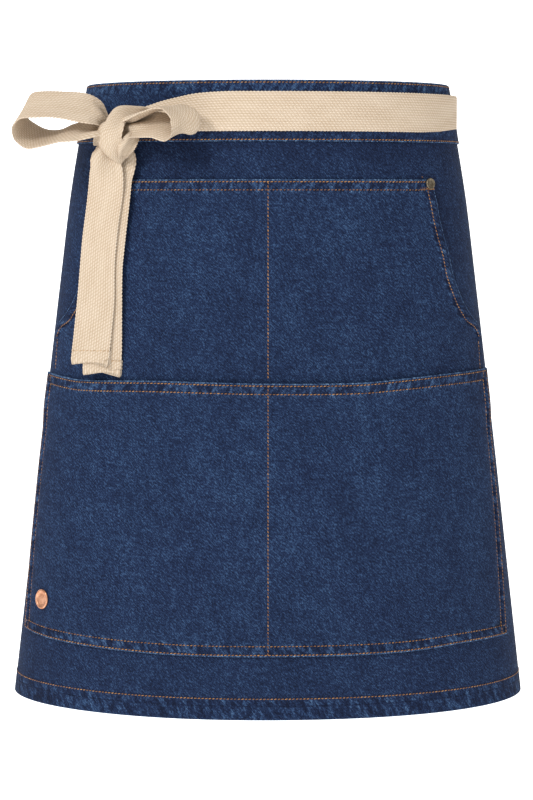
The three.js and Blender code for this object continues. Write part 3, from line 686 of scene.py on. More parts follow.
def webbing(name):
    f = Finish(name)
    across, along = f.uv("Strap", 1 / WARP_PITCH, 1 / WEAVE_PITCH)[1:]
    column = f.math("ABSOLUTE", f.math("FLOOR", across))
    shift = f.math("MODULO", column, 2.0)
    staggered = f.mixed(along, (shift, 0.5), (f.noise("Strap", 260, 260), 0.22))
    x = f.math("SUBTRACT", f.math("FRACT", across), 0.5)
    y = f.math("SUBTRACT", f.math("FRACT", staggered), 0.5)
    lean = f.times(y, 0.35, x)
    far = f.math("SQRT", f.times(lean, f.times(lean, 2.2), f.times(y, y)))
    bead = f.ramp(far, 0.62, 0.12)
    fibre = f.noise("Strap", 2600, 700)
    tone = f.mixed(0.0, (f.noise("Strap", 70, 22, detail=3), 0.16), (fibre, 0.14), (bead, 0.62))
    middle = tuple(mix(a, b, 0.55) for a, b in zip(TAN, CREAM))
    colour = f.colours(tone, [(0.0, TAN), (0.38, middle), (0.8, CREAM), (1.0, PALE_CREAM)])
    height = f.mixed(0.0, (fibre, 0.15), (bead, 1.0))
    return f.finish(colour, height, depth=0.24 * MM, rough=0.9, specular=0.12)


def thread(name, dark, middle, light):
    f = Finish(name)
    shade = f.node("ShaderNodeAttribute", attribute_name="shade", out=2)
    twist = f.grain(2400.0, 1.0)
    tone = f.mixed(0.0, (shade, 0.5), (twist, 0.5))
    colour = f.colours(tone, [(0.15, dark), (0.5, middle), (0.9, light)])
    return f.finish(colour, twist, depth=0.1 * MM, rough=0.6, specular=0.35)


def metal(name, dark, light):
    f = Finish(name)
    spots = f.grain(900.0, 4.0)
    tone = f.ramp(f.mixed(0.0, (spots, 0.4), (f.grain(260.0, 2.0), 0.6)), 0.35, 0.65)
    colour = f.colours(tone, [(0.0, dark), (1.0, light)])
    return f.finish(colour, spots, depth=0.05 * MM, rough=f.times(tone, -0.12, 0.42), metal=1.0)


webbing_finish = webbing("webbing")
thread_finish = thread("thread", (0.10, 0.042, 0.014), (0.28, 0.125, 0.038), (0.45, 0.24, 0.085))
pale_thread = thread("pale_thread", (0.30, 0.18, 0.09), (0.48, 0.32, 0.18), (0.60, 0.44, 0.28))
brass = metal("rivet_metal", (0.085, 0.068, 0.045), (0.21, 0.175, 0.125))
copper = metal("badge_metal", (0.50, 0.22, 0.12), (0.78, 0.42, 0.27))
print(len(bpy.data.materials), "finishes")

# %% [markdown]
# ## The panel
# The panel is one wide piece of denim that goes round the hips and stops short of closing behind. Its
# hem and its two back edges are folded inwards and stitched, so the cloth is double there. The grid is
# finer at the edges, where the cloth is rounded over, than in the broad middle.

# %% Panel
PANEL_TOP = 5 * MM
PANEL_COLUMNS = 250
PANEL_ROWS = 100
HEM_BAND = 21.6 * MM
BACK_BAND = 14 * MM
HEM_EXTRA = 0.25 * MM
FOLD_STEP = 0.9 * MM
EDGE_INSETS = [x * MM for x in (0, 0.25, 0.6, 1.2, 2.4, 4.5)]
BACK_INSETS = EDGE_INSETS + [8 * MM, 13.4 * MM, 14.8 * MM]
HEM_INSETS = EDGE_INSETS + [9 * MM, 15 * MM, 20.8 * MM, 22.4 * MM]


def back_arc(drop):
    gap = mix(BACK_GAP_WAIST, BACK_GAP_HEM, drop / LENGTH)
    return arc_at(math.pi - gap / 2 / half_width(drop), drop)


def fold_share(inside, band):
    """1 where the cloth is doubled by a fold as wide as band, with a quick step at its border."""
    return smooth((band - inside) / FOLD_STEP + 0.5)


def panel_place(arc, drop):
    side = back_arc(drop) - abs(arc)
    foot = LENGTH - drop
    folded = max(fold_share(foot, HEM_BAND), fold_share(side, BACK_BAND))
    outer, inner = rounded(CLOTH + HEM_EXTRA * folded, -CLOTH * folded, min(side, foot))
    if foot < side:
        return drop, outer, inner, arc, foot
    return drop, outer, inner, drop, side


def panel_arcs(drop):
    half = back_arc(drop)
    return stations(-half, half, BACK_INSETS, BACK_INSETS, PANEL_COLUMNS)


panel_drops = stations(PANEL_TOP, LENGTH, [0, 3 * MM], HEM_INSETS, PANEL_ROWS)
panel = make_sheet("ApronPanel", "apron_panel", panel_drops, panel_arcs, panel_place, panel_denim)

# %% [markdown]
# ## The waistband
# A strip of denim is folded over the panel's top edge and stitched through all layers near its fold
# and near its foot. Seen from the end it is a narrow hairpin. Sweeping that hairpin outline round the
# form gives the rounded top edge and both faces at once.

# %% Waistband
WAISTBAND = 59 * MM
BAND_OUTER = 3.0 * MM
BAND_INNER = -1.8 * MM
BAND_COLUMNS = 200
BAND_SHORTER = 0.02
BAND_BULGE = 0.35 * MM


def hairpin():
    """The strip's outline as (out, drop): down the outside, round the fold, and back up inside it."""
    middle, radius = (BAND_OUTER + BAND_INNER) / 2, (BAND_OUTER - BAND_INNER) / 2
    drops = [x * MM for x in (58.2, 56, 52, 46, 36, 26, 16, 9, 5, 3.4)]
    corner = [(0.5 * MM, WAISTBAND), (0.1 * MM, 58.8 * MM)]
    outside = [(BAND_OUTER - inset, drop) for inset, drop in corner]
    outside += [(BAND_OUTER, drop) for drop in drops]
    turn = []
    for k in range(0, 9):
        angle = math.pi * k / 8
        turn.append((middle + radius * math.cos(angle), 2 * MM * (1 - math.sin(angle))))
    back = [(BAND_INNER, drop) for drop in reversed(drops)]
    back += [(BAND_INNER + inset, drop) for inset, drop in reversed(corner)]
    slot = [(-0.6 * MM, 58.6 * MM), (-0.6 * MM, 6 * MM), (1.8 * MM, 6 * MM), (1.8 * MM, 58.6 * MM)]
    return outside + turn + back + slot


def band_bulge(drop):
    """How much the strip's outside stands fuller halfway down."""
    return BAND_BULGE * math.sin(math.pi * clamp((drop - 5 * MM) / (50 * MM)))


band_outline = hairpin()
band_edge = math.pi - BACK_GAP_WAIST / 2 / half_width(0) - BAND_SHORTER


def band_place(k, j):
    out, drop = band_outline[k]
    arc = arc_at(mix(-band_edge, band_edge, j / (BAND_COLUMNS - 1)), drop)
    bulge = band_bulge(drop) if out == BAND_OUTER else 0
    return on_form(arc, drop, out + bulge), [(arc, -drop), (arc, drop)]


waistband = sweep(
    "Waistband", "waistband", len(band_outline), BAND_COLUMNS, band_place,
    ["Cloth", "Seam"], waist_denim,
)

# %% [markdown]
# ## The upper pocket
# A second layer lies on the panel. Its top edge and its two curved side edges are doubled and
# stitched, and a seam down the middle divides it. The hands go in at the curved sides, where the layer
# stands a little off the panel.

# %% Upper pocket
OPENING_GAPE = 3.8 * MM
GAPE_FROM = UPPER_DROP + 15 * MM
GAPE_WIDTH = 55 * MM
MOUTH_END = UPPER_DROP + OPENING_DEPTH
UPPER_FOOT = 504.7 * MM
UPPER_FROM = CLOTH + LAYER_GAP
UPPER_COLUMNS = 90
UPPER_ROWS = 92
LOWER_DROP = 288.5 * MM
LOWER_FOOT = 559 * MM
LOWER_SIDES = {-1: (255 * MM, 281 * MM), 1: (253 * MM, 269.5 * MM)}
BAND_INSETS = EDGE_INSETS + [8.8 * MM, 10.2 * MM]
HIDDEN_INSET = 10.6 * MM
HIDDEN_FROM = 4 * MM
HIDDEN_REACH = 26 * MM
SLANT_REACH = 3 * MM
STEEPEST_SLANT = 2.4


def lower_edge(side, drop):
    share = clamp((drop - LOWER_DROP) / (LOWER_FOOT - LOWER_DROP))
    return mix(*LOWER_SIDES[side], 1 - (1 - share) ** 2)


def side_of(arc):
    return -1 if arc < 0 else 1


def hidden_edge(side, drop):
    """The upper pocket's side edge. Under the lower pocket it draws in and is out of sight."""
    free = upper_edge(drop)
    drawn = min(free, lower_edge(side, drop) - SEAM_BAND - HIDDEN_INSET)
    return mix(free, drawn, smooth((drop - LOWER_DROP - HIDDEN_FROM) / HIDDEN_REACH))


def slant(drop):
    """How much longer a length across a slanting side edge is when it is measured level."""
    rise = upper_edge(drop + SLANT_REACH) - upper_edge(drop - SLANT_REACH)
    return min(STEEPEST_SLANT, math.hypot(1, rise / (2 * SLANT_REACH)))


def upper_place(arc, drop):
    level = hidden_edge(side_of(arc), drop) - abs(arc)
    side = level / slant(drop)
    top = drop - UPPER_DROP
    doubled = fold_share(top, SEAM_BAND)
    if drop < MOUTH_END:
        doubled = max(doubled, fold_share(side, SEAM_BAND))
    open_share = clamp((drop - GAPE_FROM) / (MOUTH_END - GAPE_FROM))
    near_side = smooth(1 - (level - SEAM_BAND) / GAPE_WIDTH)
    inner = UPPER_FROM + OPENING_GAPE * math.sin(math.pi * open_share) ** 2 * near_side
    outer, inner = rounded(inner + CLOTH * (1 + doubled), inner, min(top, side, UPPER_FOOT - drop))
    if top < side or drop > MOUTH_END + 20 * MM:
        return drop, outer, inner, arc, top
    return drop, outer, inner, drop, side


def upper_arcs(drop):
    lean = slant(drop)
    insets = [x * lean for x in BAND_INSETS]
    left, right = hidden_edge(-1, drop), hidden_edge(1, drop)
    return stations(-left, right, insets, insets, UPPER_COLUMNS)


upper_drops = stations(UPPER_DROP, UPPER_FOOT, BAND_INSETS, EDGE_INSETS[:3], UPPER_ROWS)
upper_pocket = make_sheet(
    "UpperPocket", "upper_pocket", upper_drops, upper_arcs, upper_place, pocket_denim
)

# %% [markdown]
# ## The lower pocket
# The third layer is open at its top edge and sewn down on its other three sides. Its mouth sags a
# little between the seams and stands off the layer behind it, because cloth that is held only at its
# corners relaxes.

# %% Lower pocket
LOWER_FROM = UPPER_FROM + CLOTH + LAYER_GAP
LOWER_SAG = 3.2 * MM
LOWER_GAPE = 2.2 * MM
SAG_REACH = 60 * MM
RISE_REACH = 40 * MM
TUCK_FROM = 30 * MM
TUCK_REACH = 32 * MM
SIDE_TUCK = 18.1 * MM
SIDE_TUCK_STEP = 8 * MM
FOOT_TUCK = 19 * MM
FOOT_TUCK_STEP = 9 * MM
LOWER_COLUMNS = 96
LOWER_ROWS = 52
LOWER_INSETS = BAND_INSETS + [14 * MM, 18.5 * MM]
# Where the mouth hangs lower and where the foot is drawn up, from one side to the other
MOUTH_SAG = [
    (-1, 0.05), (-0.85, 0.9), (-0.76, 1.3), (-0.43, 0.6), (0, 1),
    (0.35, 1), (0.53, 0.15), (0.73, -0.7), (1, -1.2),
]
FOOT_RISE = [(-1, 2.5), (-0.8, 1.3), (-0.35, 0.1), (0, 0), (0.5, 0.2), (0.75, 1.2), (1, 1.1)]


def lower_place(arc, drop):
    edge = lower_edge(side_of(arc), drop)
    across, side = arc / edge, edge - abs(arc)
    top, foot = drop - LOWER_DROP, LOWER_FOOT - drop
    near_mouth, near_foot = smooth(1 - top / SAG_REACH), smooth(1 - foot / RISE_REACH)
    sag = LOWER_SAG * near_mouth * read_curve(MOUTH_SAG, across)
    rise = LOWER_SAG * near_foot * read_curve(FOOT_RISE, across)
    tuck = smooth((top - TUCK_FROM) / TUCK_REACH) * smooth((SIDE_TUCK - side) / SIDE_TUCK_STEP)
    tuck = max(tuck, smooth((FOOT_TUCK - foot) / FOOT_TUCK_STEP))
    gape = LOWER_GAPE * near_mouth * smooth(1.25 * (1 - abs(across)))
    nearest = min(top, foot, side)
    inner = mix(LOWER_FROM, UPPER_FROM, tuck) + gape
    thickness = CLOTH * (1 + fold_share(nearest, SEAM_BAND))
    outer, inner = rounded(inner + thickness, inner, nearest)
    return drop + sag - rise, outer, inner, drop if nearest == side else arc, nearest


def lower_arcs(drop):
    left, right = lower_edge(-1, drop), lower_edge(1, drop)
    return stations(-left, right, LOWER_INSETS, LOWER_INSETS, LOWER_COLUMNS)


foot_insets = BAND_INSETS + [FOOT_TUCK]
lower_drops = stations(LOWER_DROP, LOWER_FOOT, BAND_INSETS, foot_insets, LOWER_ROWS)
lower_pocket = make_sheet(
    "LowerPocket", "lower_pocket", lower_drops, lower_arcs, lower_place, pocket_denim
)

# %% [markdown]
# ## The belt
# One long strap starts at the knot, goes round the back and comes back to the knot. Near the knot the
# webbing is pulled together, so it gets narrower, rises and folds into pleats.

# %% Belt
KNOT_ARC = -149 * MM
BELT_FROM = BAND_OUTER + LAYER_GAP + 0.35 * MM
BELT_STATIONS = 34
# Away from the knot, the top edge, the foot and the stand, all in belt widths
GATHER = [
    (0.2, -0.12, -0.6, 0.24), (0.55, 0, -0.58, 0.15), (0.8, 0.12, -0.56, 0.08),
    (1.05, 0.2, -0.54, 0.04), (1.3, 0.28, -0.53, 0.01), (1.7, 0.37, -0.51, 0),
    (2.2, 0.46, -0.5, 0), (2.9, 0.5, -0.5, 0),
]


def belt_station(angle, top, foot, stand):
    drop = BELT_DROP - (top + foot) / 2 * BELT_WIDTH
    arc = arc_at(angle, drop) if abs(angle) <= math.pi else -arc_at(2 * math.pi - angle, drop)
    centre = on_form(arc, drop, BELT_FROM + BELT_THICKNESS / 2 + stand * BELT_WIDTH)
    return centre, Vector((0, 0, 1)), (top - foot) * BELT_WIDTH, BELT_THICKNESS, 0.0


def gathered(side, turn):
    """The belt's stations near the knot, on one side of it."""
    return [
        (angle_at(KNOT_ARC + side * away * BELT_WIDTH, BELT_DROP) + turn, *rest)
        for away, *rest in GATHER
    ]


def belt_path():
    right, left = gathered(1, 0), gathered(-1, 2 * math.pi)
    start, end = right[-1][0], left[-1][0]
    shares = [k / BELT_STATIONS for k in range(1, BELT_STATIONS)]
    middle = [(mix(start, end, share), 0.5, -0.5, 0) for share in shares]
    return [belt_station(*row) for row in right + middle + left[::-1]]


belt = make_strap("Belt", "belt", belt_path())

# %% [markdown]
# ## The bow
# The two loops and the two tails are the same webbing. Each is a strap through a few stations, placed
# from the knot. A station says where the strap's centre line is, which way its width points and how
# wide it is there.

# %% Bow loops
KNOT_DROP = 48.5 * MM
KNOT_STAND = 19.6 * MM
knot_point, knot_tangent, knot_normal = form_frame(angle_at(KNOT_ARC, KNOT_DROP), KNOT_DROP)
knot_centre = knot_point + knot_normal * KNOT_STAND


def in_knot(along, off, up):
    return knot_tangent * along + knot_normal * off + Vector((0, 0, up))


def from_knot(along, off, up):
    return knot_centre + in_knot(along, off, up) * BELT_WIDTH

# Along, off and up from the knot, the three parts of the width's direction, and the width
LEFT_LOOP = [
    (-0.09, 0.1, 0.23, -0.3, -0.66, 0.69, 0.5), (-0.17, 0.34, 0.45, -0.28, -0.63, 0.73, 0.85),
    (-0.43, 0.61, 0.57, -0.28, -0.58, 0.76, 1), (-0.92, 0.94, 0.65, -0.32, -0.64, 0.7, 1),
    (-1.37, 1.18, 0.66, -0.3, -0.65, 0.7, 1), (-1.73, 1.28, 0.62, -0.24, -0.7, 0.67, 1),
    (-2.02, 1.21, 0.4, -0.25, -0.8, 0.54, 1), (-2.13, 1.11, 0.18, -0.25, -0.85, 0.47, 1),
    (-2.06, 0.99, -0.01, -0.13, -0.85, 0.51, 1), (-1.79, 0.85, -0.18, -0.06, -0.85, 0.52, 1),
    (-1.32, 0.8, -0.16, -0.14, -0.88, 0.45, 1), (-0.87, 0.76, -0.05, -0.24, -0.84, 0.48, 1),
    (-0.53, 0.64, -0.01, -0.45, -0.73, 0.52, 0.95), (-0.24, 0.42, 0.03, -0.54, -0.68, 0.5, 0.75),
    (-0.09, 0.1, 0.06, -0.56, -0.69, 0.47, 0.5),
]
RIGHT_LOOP = [
    (0.25, -0.19, 0.27, -0.22, -0.85, 0.49, 0.45), (0.67, 0.03, 0.29, -0.19, -0.96, 0.19, 0.52),
    (1.03, 0.06, 0.37, -0.12, -0.99, 0.11, 0.8), (1.44, 0.09, 0.48, -0.04, -0.99, 0.09, 0.94),
    (1.85, 0.11, 0.56, 0, -0.99, 0.08, 0.98), (2.11, 0.06, 0.53, 0.02, -0.98, 0.14, 0.96),
    (2.35, 0, 0.35, 0.21, -0.96, 0.18, 0.94), (2.39, -0.02, 0.13, 0.28, -0.94, 0.17, 0.94),
    (2.3, -0.01, -0.04, 0.35, -0.91, 0.21, 0.92), (2.135, 0.02, -0.085, 0.38, -0.9, 0.22, 0.98),
    (1.79, 0.1, 0.055, 0.31, -0.82, 0.47, 1), (1.3, 0.085, 0.125, 0.1, -0.7, 0.7, 0.93),
    (0.76, 0.03, 0.09, -0.28, -0.67, 0.69, 0.73), (0.42, -0.06, 0.06, -0.31, -0.55, 0.78, 0.51),
]


def loop_path(table, cup):
    path = []
    for along, off, up, edge_along, edge_off, edge_up, width in table:
        edge = in_knot(edge_along, edge_off, edge_up).normalized()
        path.append((from_knot(along, off, up), edge, width * BELT_WIDTH, BELT_THICKNESS, cup))
    return path


loop_left = make_strap("BowLoopLeft", "bow_loop_left", loop_path(LEFT_LOOP, 0.5 * MM))
loop_right = make_strap("BowLoopRight", "bow_loop_right", loop_path(RIGHT_LOOP, 0.3 * MM))

# %% Tails
TAIL_HEM = 13 * MM
TAIL_CUP = 0.5 * MM
HEM_GAP = 0.15 * MM
HEM_STEPS = [26 * MM, TAIL_HEM, 6.5 * MM, 3.2 * MM, 1.6 * MM]
FRONT_TAIL_LENGTH = 225 * MM
BACK_TAIL_LENGTH = 235 * MM
# Share of the length, shift along the waist, stand, turn in degrees, and width
FRONT_TAIL = [
    (0.02, 0.02, 0.59, -38, 0.45), (0.088, 0, 0.7, -34, 0.59), (0.122, -0.03, 0.74, -30, 0.72),
    (0.169, -0.05, 0.64, -24, 0.86), (0.225, -0.11, 0.56, -16, 0.95), (0.285, -0.18, 0.51, -15, 0.97),
    (0.371, -0.27, 0.49, -15, 0.96), (0.475, -0.36, 0.48, -15, 0.97), (0.588, -0.41, 0.49, -16, 0.97),
    (0.735, -0.43, 0.52, -21, 1), (1, -0.57, 0.56, -24, 1),
]
BACK_TAIL = [
    (0.02, 0.2, 0.39, -30, 0.45), (0.074, 0.17, 0.36, -28, 0.66), (0.107, 0.16, 0.37, -25, 0.85),
    (0.139, 0.12, 0.39, -20, 0.93), (0.188, 0.02, 0.4, -18, 0.97), (0.282, -0.06, 0.39, -17, 0.98),
    (0.384, -0.16, 0.37, -17, 1), (0.491, -0.24, 0.37, -17, 1), (0.601, -0.29, 0.38, -18, 1),
    (0.839, -0.31, 0.36, -22, 1), (1, -0.36, 0.35, -25, 1),
]


def tail_station(table, length, from_end, behind=0.0):
    share = 1 - from_end / length
    drop = KNOT_DROP + share * length
    shift, stand, face, width = (read_curve(table, share, column) for column in (1, 2, 3, 4))
    arc = KNOT_ARC + shift * BELT_WIDTH
    point, tangent, normal = form_frame(angle_at(arc, drop), drop)
    turn = math.radians(face)
    edge = tangent * math.cos(turn) + normal * math.sin(turn)
    cup = TAIL_CUP * smooth((from_end - TAIL_HEM) / (20 * MM))
    centre = point + normal * (stand * BELT_WIDTH - behind)
    return centre, edge, width * BELT_WIDTH, BELT_THICKNESS, cup


def tail_path(table, length):
    """Down the tail, round its end and a little way up again behind it, as a hem is turned."""
    layer = BELT_THICKNESS + HEM_GAP
    places = [(1 - row[0]) * length for row in table]
    places = [from_end for from_end in places if from_end > 1.5 * HEM_STEPS[0]]
    path = [tail_station(table, length, from_end) for from_end in places + HEM_STEPS]
    path.append(tail_station(table, length, 0, layer / 2))
    back_up = reversed(HEM_STEPS[1:])
    return path + [tail_station(table, length, from_end, layer) for from_end in back_up]


tail_front = make_strap("TailFront", "tail_front", tail_path(FRONT_TAIL, FRONT_TAIL_LENGTH), folds=2)
tail_back = make_strap("TailBack", "tail_back", tail_path(BACK_TAIL, BACK_TAIL_LENGTH))

# %% [markdown]
# ## The knot
# The knot is a tight lump of webbing. A rounded core fills its inside, and three bands of strap run
# over it: a wide one that comes from behind the right loop, over the top and down the left, a narrow
# one at the lower right, and a short one at the lower left, where the tails come out.

# %% Knot
# Along, off, up and radius of the balls that the core is drawn over, in belt widths from the knot
KNOT_LUMPS = [
    (0.33, -0.1, 0.39, 0.27), (0.06, 0.07, 0.03, 0.27), (0.08, 0.02, -0.49, 0.25),
    (0.31, -0.08, -0.31, 0.26), (0.57, -0.2, 0.45, 0.14), (0.26, 0.14, -0.05, 0.23),
]
CORE_INSET = 0.1


def make_core():
    bm = bmesh.new()
    for along, off, up, radius in KNOT_LUMPS:
        place = Matrix.Translation(from_knot(along, off, up))
        size = (radius - CORE_INSET) * BELT_WIDTH
        bmesh.ops.create_uvsphere(bm, u_segments=24, v_segments=14, radius=size, matrix=place)
    hull = bmesh.ops.convex_hull(bm, input=bm.verts[:])
    spare = hull["geom_interior"] + hull["geom_unused"]
    inside = list({item for item in spare if isinstance(item, bmesh.types.BMVert)})
    bmesh.ops.delete(bm, geom=inside, context="VERTS")
    loose = [face for face in bm.faces if face not in set(hull["geom"])]
    bmesh.ops.delete(bm, geom=loose, context="FACES_ONLY")

    def strap_map(vertex):
        away = vertex.co - knot_centre
        return [(away.dot(knot_tangent), away.z + 0.3 * away.dot(knot_normal))]

    write_maps(bm, ["Strap"], strap_map)
    return shade_and_link(bm, "KnotCore", [webbing_finish])


KNOT_MIDDLE = (0.25, -0.05)
KNOT_RADII = (0.74, 0.86)
KNOT_BACK = -0.22
KNOT_FULLNESS = 0.60
KNOT_REACH = 0.04


def on_knot(along, up, lift=0.0):
    x, y = ((at - middle) / radius for at, middle, radius in zip((along, up), KNOT_MIDDLE, KNOT_RADII))
    off = KNOT_BACK + KNOT_FULLNESS * math.sqrt(max(0.0, 1 - min(1.0, x * x + y * y)))
    return from_knot(along, off + lift, up)


def knot_band(name, rows, cup):
    """A band over the knot. rows are along, up, lift and width in belt widths, and its lean."""
    path = []
    for along, up, lift, width, lean in rows:
        side = on_knot(along + KNOT_REACH, up) - on_knot(along - KNOT_REACH, up)
        rise = on_knot(along, up + KNOT_REACH) - on_knot(along, up - KNOT_REACH)
        turn = math.radians(lean)
        edge = side.normalized() * math.cos(turn) + rise.normalized() * math.sin(turn)
        centre = on_knot(along, up, lift)
        path.append((centre, edge.normalized(), width * BELT_WIDTH, BELT_THICKNESS, cup))
    return make_strap(name, "knot", path, folds=2)


stands_for(make_core(), "knot")
knot_wrap = knot_band("KnotWrap", [
    (0.94, 0.5, -0.2, 0.2, -76), (0.78, 0.51, -0.08, 0.3, -70), (0.56, 0.47, 0.0, 0.5, -42),
    (0.45, 0.32, 0.05, 0.52, -34), (0.395, 0.12, 0.07, 0.59, -18), (0.275, -0.12, 0.08, 0.85, -3),
    (0.26, -0.36, 0.07, 0.78, 10), (0.33, -0.58, 0.03, 0.56, 20), (0.40, -0.78, -0.05, 0.3, 21),
], 3.0 * MM)
knot_feed = knot_band("KnotFeed", [
    (0.80, -0.10, -0.14, 0.30, -16), (0.78, -0.22, -0.04, 0.38, -22), (0.72, -0.36, 0.02, 0.42, -34),
    (0.60, -0.50, 0.0, 0.38, -41), (0.46, -0.66, -0.04, 0.26, -42),
], 1.6 * MM)
knot_tuck = knot_band("KnotTuck", [
    (-0.18, -0.08, -0.06, 0.42, -50), (-0.38, -0.2, 0.0, 0.40, -50), (-0.6, -0.36, 0.06, 0.24, -50),
], 0.8 * MM)

# %% [markdown]
# ## Stitches
# The seams are sewn with thick orange-brown thread. Real stitches stand proud of the cloth and catch
# the light, so each one is its own small lump. The lines repeat the sheets' own place functions, which
# keeps every stitch on the cloth, over folds and sags.

# %% Lines of stitches
RIVET_ARC = UPPER_HALF_TOP - 5.9 * MM
RIVET_DROP = UPPER_DROP + 4.4 * MM
TACK_PITCH = 0.95 * MM
HEM_ROW_RISE = 21.2 * MM
BACK_ROW = 13 * MM
SIDE_ROW = 9 * MM
LINE_STEP = 8 * MM


def straight(start, end):
    """A level or an upright line of points on the cloth, from one (arc, drop) to another."""
    count = max(2, round(max(abs(end[0] - start[0]), abs(end[1] - start[1])) / LINE_STEP))
    return [tuple(mix(a, b, k / count) for a, b in zip(start, end)) for k in range(count + 1)]


def level(arc_from, arc_to, drop):
    return straight((arc_from, drop), (arc_to, drop))


def along_side(edge_at, inside, drop_from, drop_to):
    count = round((drop_to - drop_from) / (4 * MM))
    drops = [mix(drop_from, drop_to, k / count) for k in range(count + 1)]
    return [(edge_at(drop) - inside(drop), drop) for drop in drops]


def mirrored(line):
    return [(-arc, drop) for arc, drop in line]


def band_face(arc, drop):
    return drop, BAND_OUTER + band_bulge(drop), BAND_INNER


band_arc = arc_at(band_edge, 30 * MM) - 3 * MM
band_lines = [level(-band_arc, band_arc, row * MM) for row in BAND_ROWS]
band_lines += [straight((arc, 5 * MM), (arc, 56 * MM)) for arc in (-band_arc, band_arc)]
hem_arc = back_arc(LENGTH) - 3 * MM
panel_lines = [level(-hem_arc, hem_arc, LENGTH - HEM_ROW_RISE)]
back_line = along_side(back_arc, lambda drop: BACK_ROW, 62 * MM, LENGTH - 4 * MM)
panel_lines += [back_line, mirrored(back_line)]

side_line = along_side(
    upper_edge, lambda drop: SIDE_ROW * slant(drop), UPPER_DROP + 3 * MM, LOWER_DROP - 3 * MM
)
upper_lines = []
for inset, below in ((7.5 * MM, 2.3 * MM), (9.5 * MM, 10 * MM)):
    arc = UPPER_HALF_TOP - inset
    upper_lines.append(level(-arc, arc, UPPER_DROP + below))
middle_seam = straight((0, UPPER_DROP + 1.5 * MM), (0, LOWER_DROP - 1 * MM))
upper_lines += [side_line, mirrored(side_line), middle_seam]


def bar_tack(arc_from, arc_to, drop):
    """Short stitches side by side, each the middle of a line of its own."""
    count = round((arc_to - arc_from) / TACK_PITCH)
    places = [mix(arc_from, arc_to, k / count) for k in range(count + 1)]
    return [[(arc, drop - 1.5 * MM), (arc + 0.5 * MM, drop + 1.5 * MM)] for arc in places]


tack = bar_tack(RIVET_ARC - 11.5 * MM, RIVET_ARC + 5 * MM, RIVET_DROP + 4.6 * MM)
end_stitch = [
    (RIVET_ARC - 7.2 * MM, RIVET_DROP - 8.4 * MM), (RIVET_ARC - 6.2 * MM, RIVET_DROP - 5.4 * MM),
]
upper_lines += tack + [mirrored(line) for line in tack]
panel_lines += [end_stitch, mirrored(end_stitch)]


def side_row(side, inside):
    edge_at = functools.partial(lower_edge, side)
    line = along_side(edge_at, lambda drop: inside, LOWER_DROP + 3 * MM, LOWER_FOOT - 2 * MM)
    return line if side > 0 else mirrored(line)


lower_lines = []
for drop, inset in (
    (LOWER_DROP + 2.4 * MM, 6 * MM), (LOWER_DROP + 10.8 * MM, 13 * MM),
    (LOWER_FOOT - 10.2 * MM, 6 * MM), (LOWER_FOOT - 1.9 * MM, 4 * MM),
):
    lower_lines.append(level(-lower_edge(-1, drop) + inset, lower_edge(1, drop) - inset, drop))
for side, inside in ((1, 4.6 * MM), (1, 12.6 * MM), (-1, 3.8 * MM), (-1, 11.4 * MM)):
    lower_lines.append(side_row(side, inside))
lower_lines.append(straight((0, LOWER_DROP + 1 * MM), (0, LOWER_FOOT - 1 * MM)))
print(len(band_lines + panel_lines + upper_lines + lower_lines), "rows of stitches")

# %% Sewing
for name, lines, place in (
    ("SeamsWaistband", band_lines, band_face), ("SeamsPanel", panel_lines, panel_place),
    ("SeamsUpperPocket", upper_lines, upper_place), ("SeamsLowerPocket", lower_lines, lower_place),
):
    make_seams(name, lines, place)
make_seams("SeamsInside", band_lines, band_face, inside=True)
make_seams("SeamsInsidePanel", panel_lines, panel_place, inside=True)

# %% Hems of the tails
HEM_ROW = TAIL_HEM - 1.6 * MM


def sew_hem(name, table, length):
    """One row of pale stitches across a tail, through both layers of its hem."""
    bm = bmesh.new()
    shade = bm.verts.layers.float.new("shade")
    centre, edge, width, thickness, _ = tail_station(table, length, HEM_ROW)
    outward = edge.cross(Vector((0, 0, 1))).normalized()
    count = round(width / STITCH_PITCH)
    reach = edge * STITCH_LENGTH / 2
    for k in range(count):
        across = edge * width * ((k + 0.5) / count - 0.5)
        middle = centre + outward * (thickness / 2 + 0.1 * MM) + across
        add_stitch(bm, middle - reach, middle + reach, outward, shade)
    shade_and_link(bm, name, [pale_thread])


sew_hem("SeamTailFront", FRONT_TAIL, FRONT_TAIL_LENGTH)
sew_hem("SeamTailBack", BACK_TAIL, BACK_TAIL_LENGTH)

# %% [markdown]
# ## Rivets and badge
# Two small rivets hold the pocket's top corners, and a plain round badge sits at the lower left. Both
# are turned shapes, so half a section is spun round its axis. The badge is a plain disc with a raised
# rim.

# %% Metal
RIVET_RADIUS = 5.6 * MM
RIVET_HEIGHT = 2.2 * MM
BADGE_RADIUS = 10 * MM
BADGE_HEIGHT = 2 * MM
BADGE_ARC = -242.8 * MM
BADGE_DROP = 516.7 * MM
METAL_LIFT = 0.1 * MM
WASHER_BEHIND = 0.7 * MM
WASHER = [(0, -0.8 * MM), (3.3 * MM, -0.8 * MM), (3.6 * MM, -0.5 * MM), (3.4 * MM, 0), (1.6 * MM, 0)]
RIM = [
    (0.93, 0), (0.985, 0.2), (1, 0.45), (0.985, 0.72),
    (0.94, 0.92), (0.88, 1), (0.81, 0.94), (0.76, 0.8),
]


def cap_section(radius, height, back, dish):
    """From the washer behind the cloth, up the post, round the cap's rim and into its middle."""
    washer = [(x, back + y) for x, y in WASHER]
    shares = RIM + [(0.72, dish), (0.5, dish + 0.03), (0, dish + 0.06)]
    return washer + [(washer[-1][0], 0)] + [(x * radius, y * height) for x, y in shares]


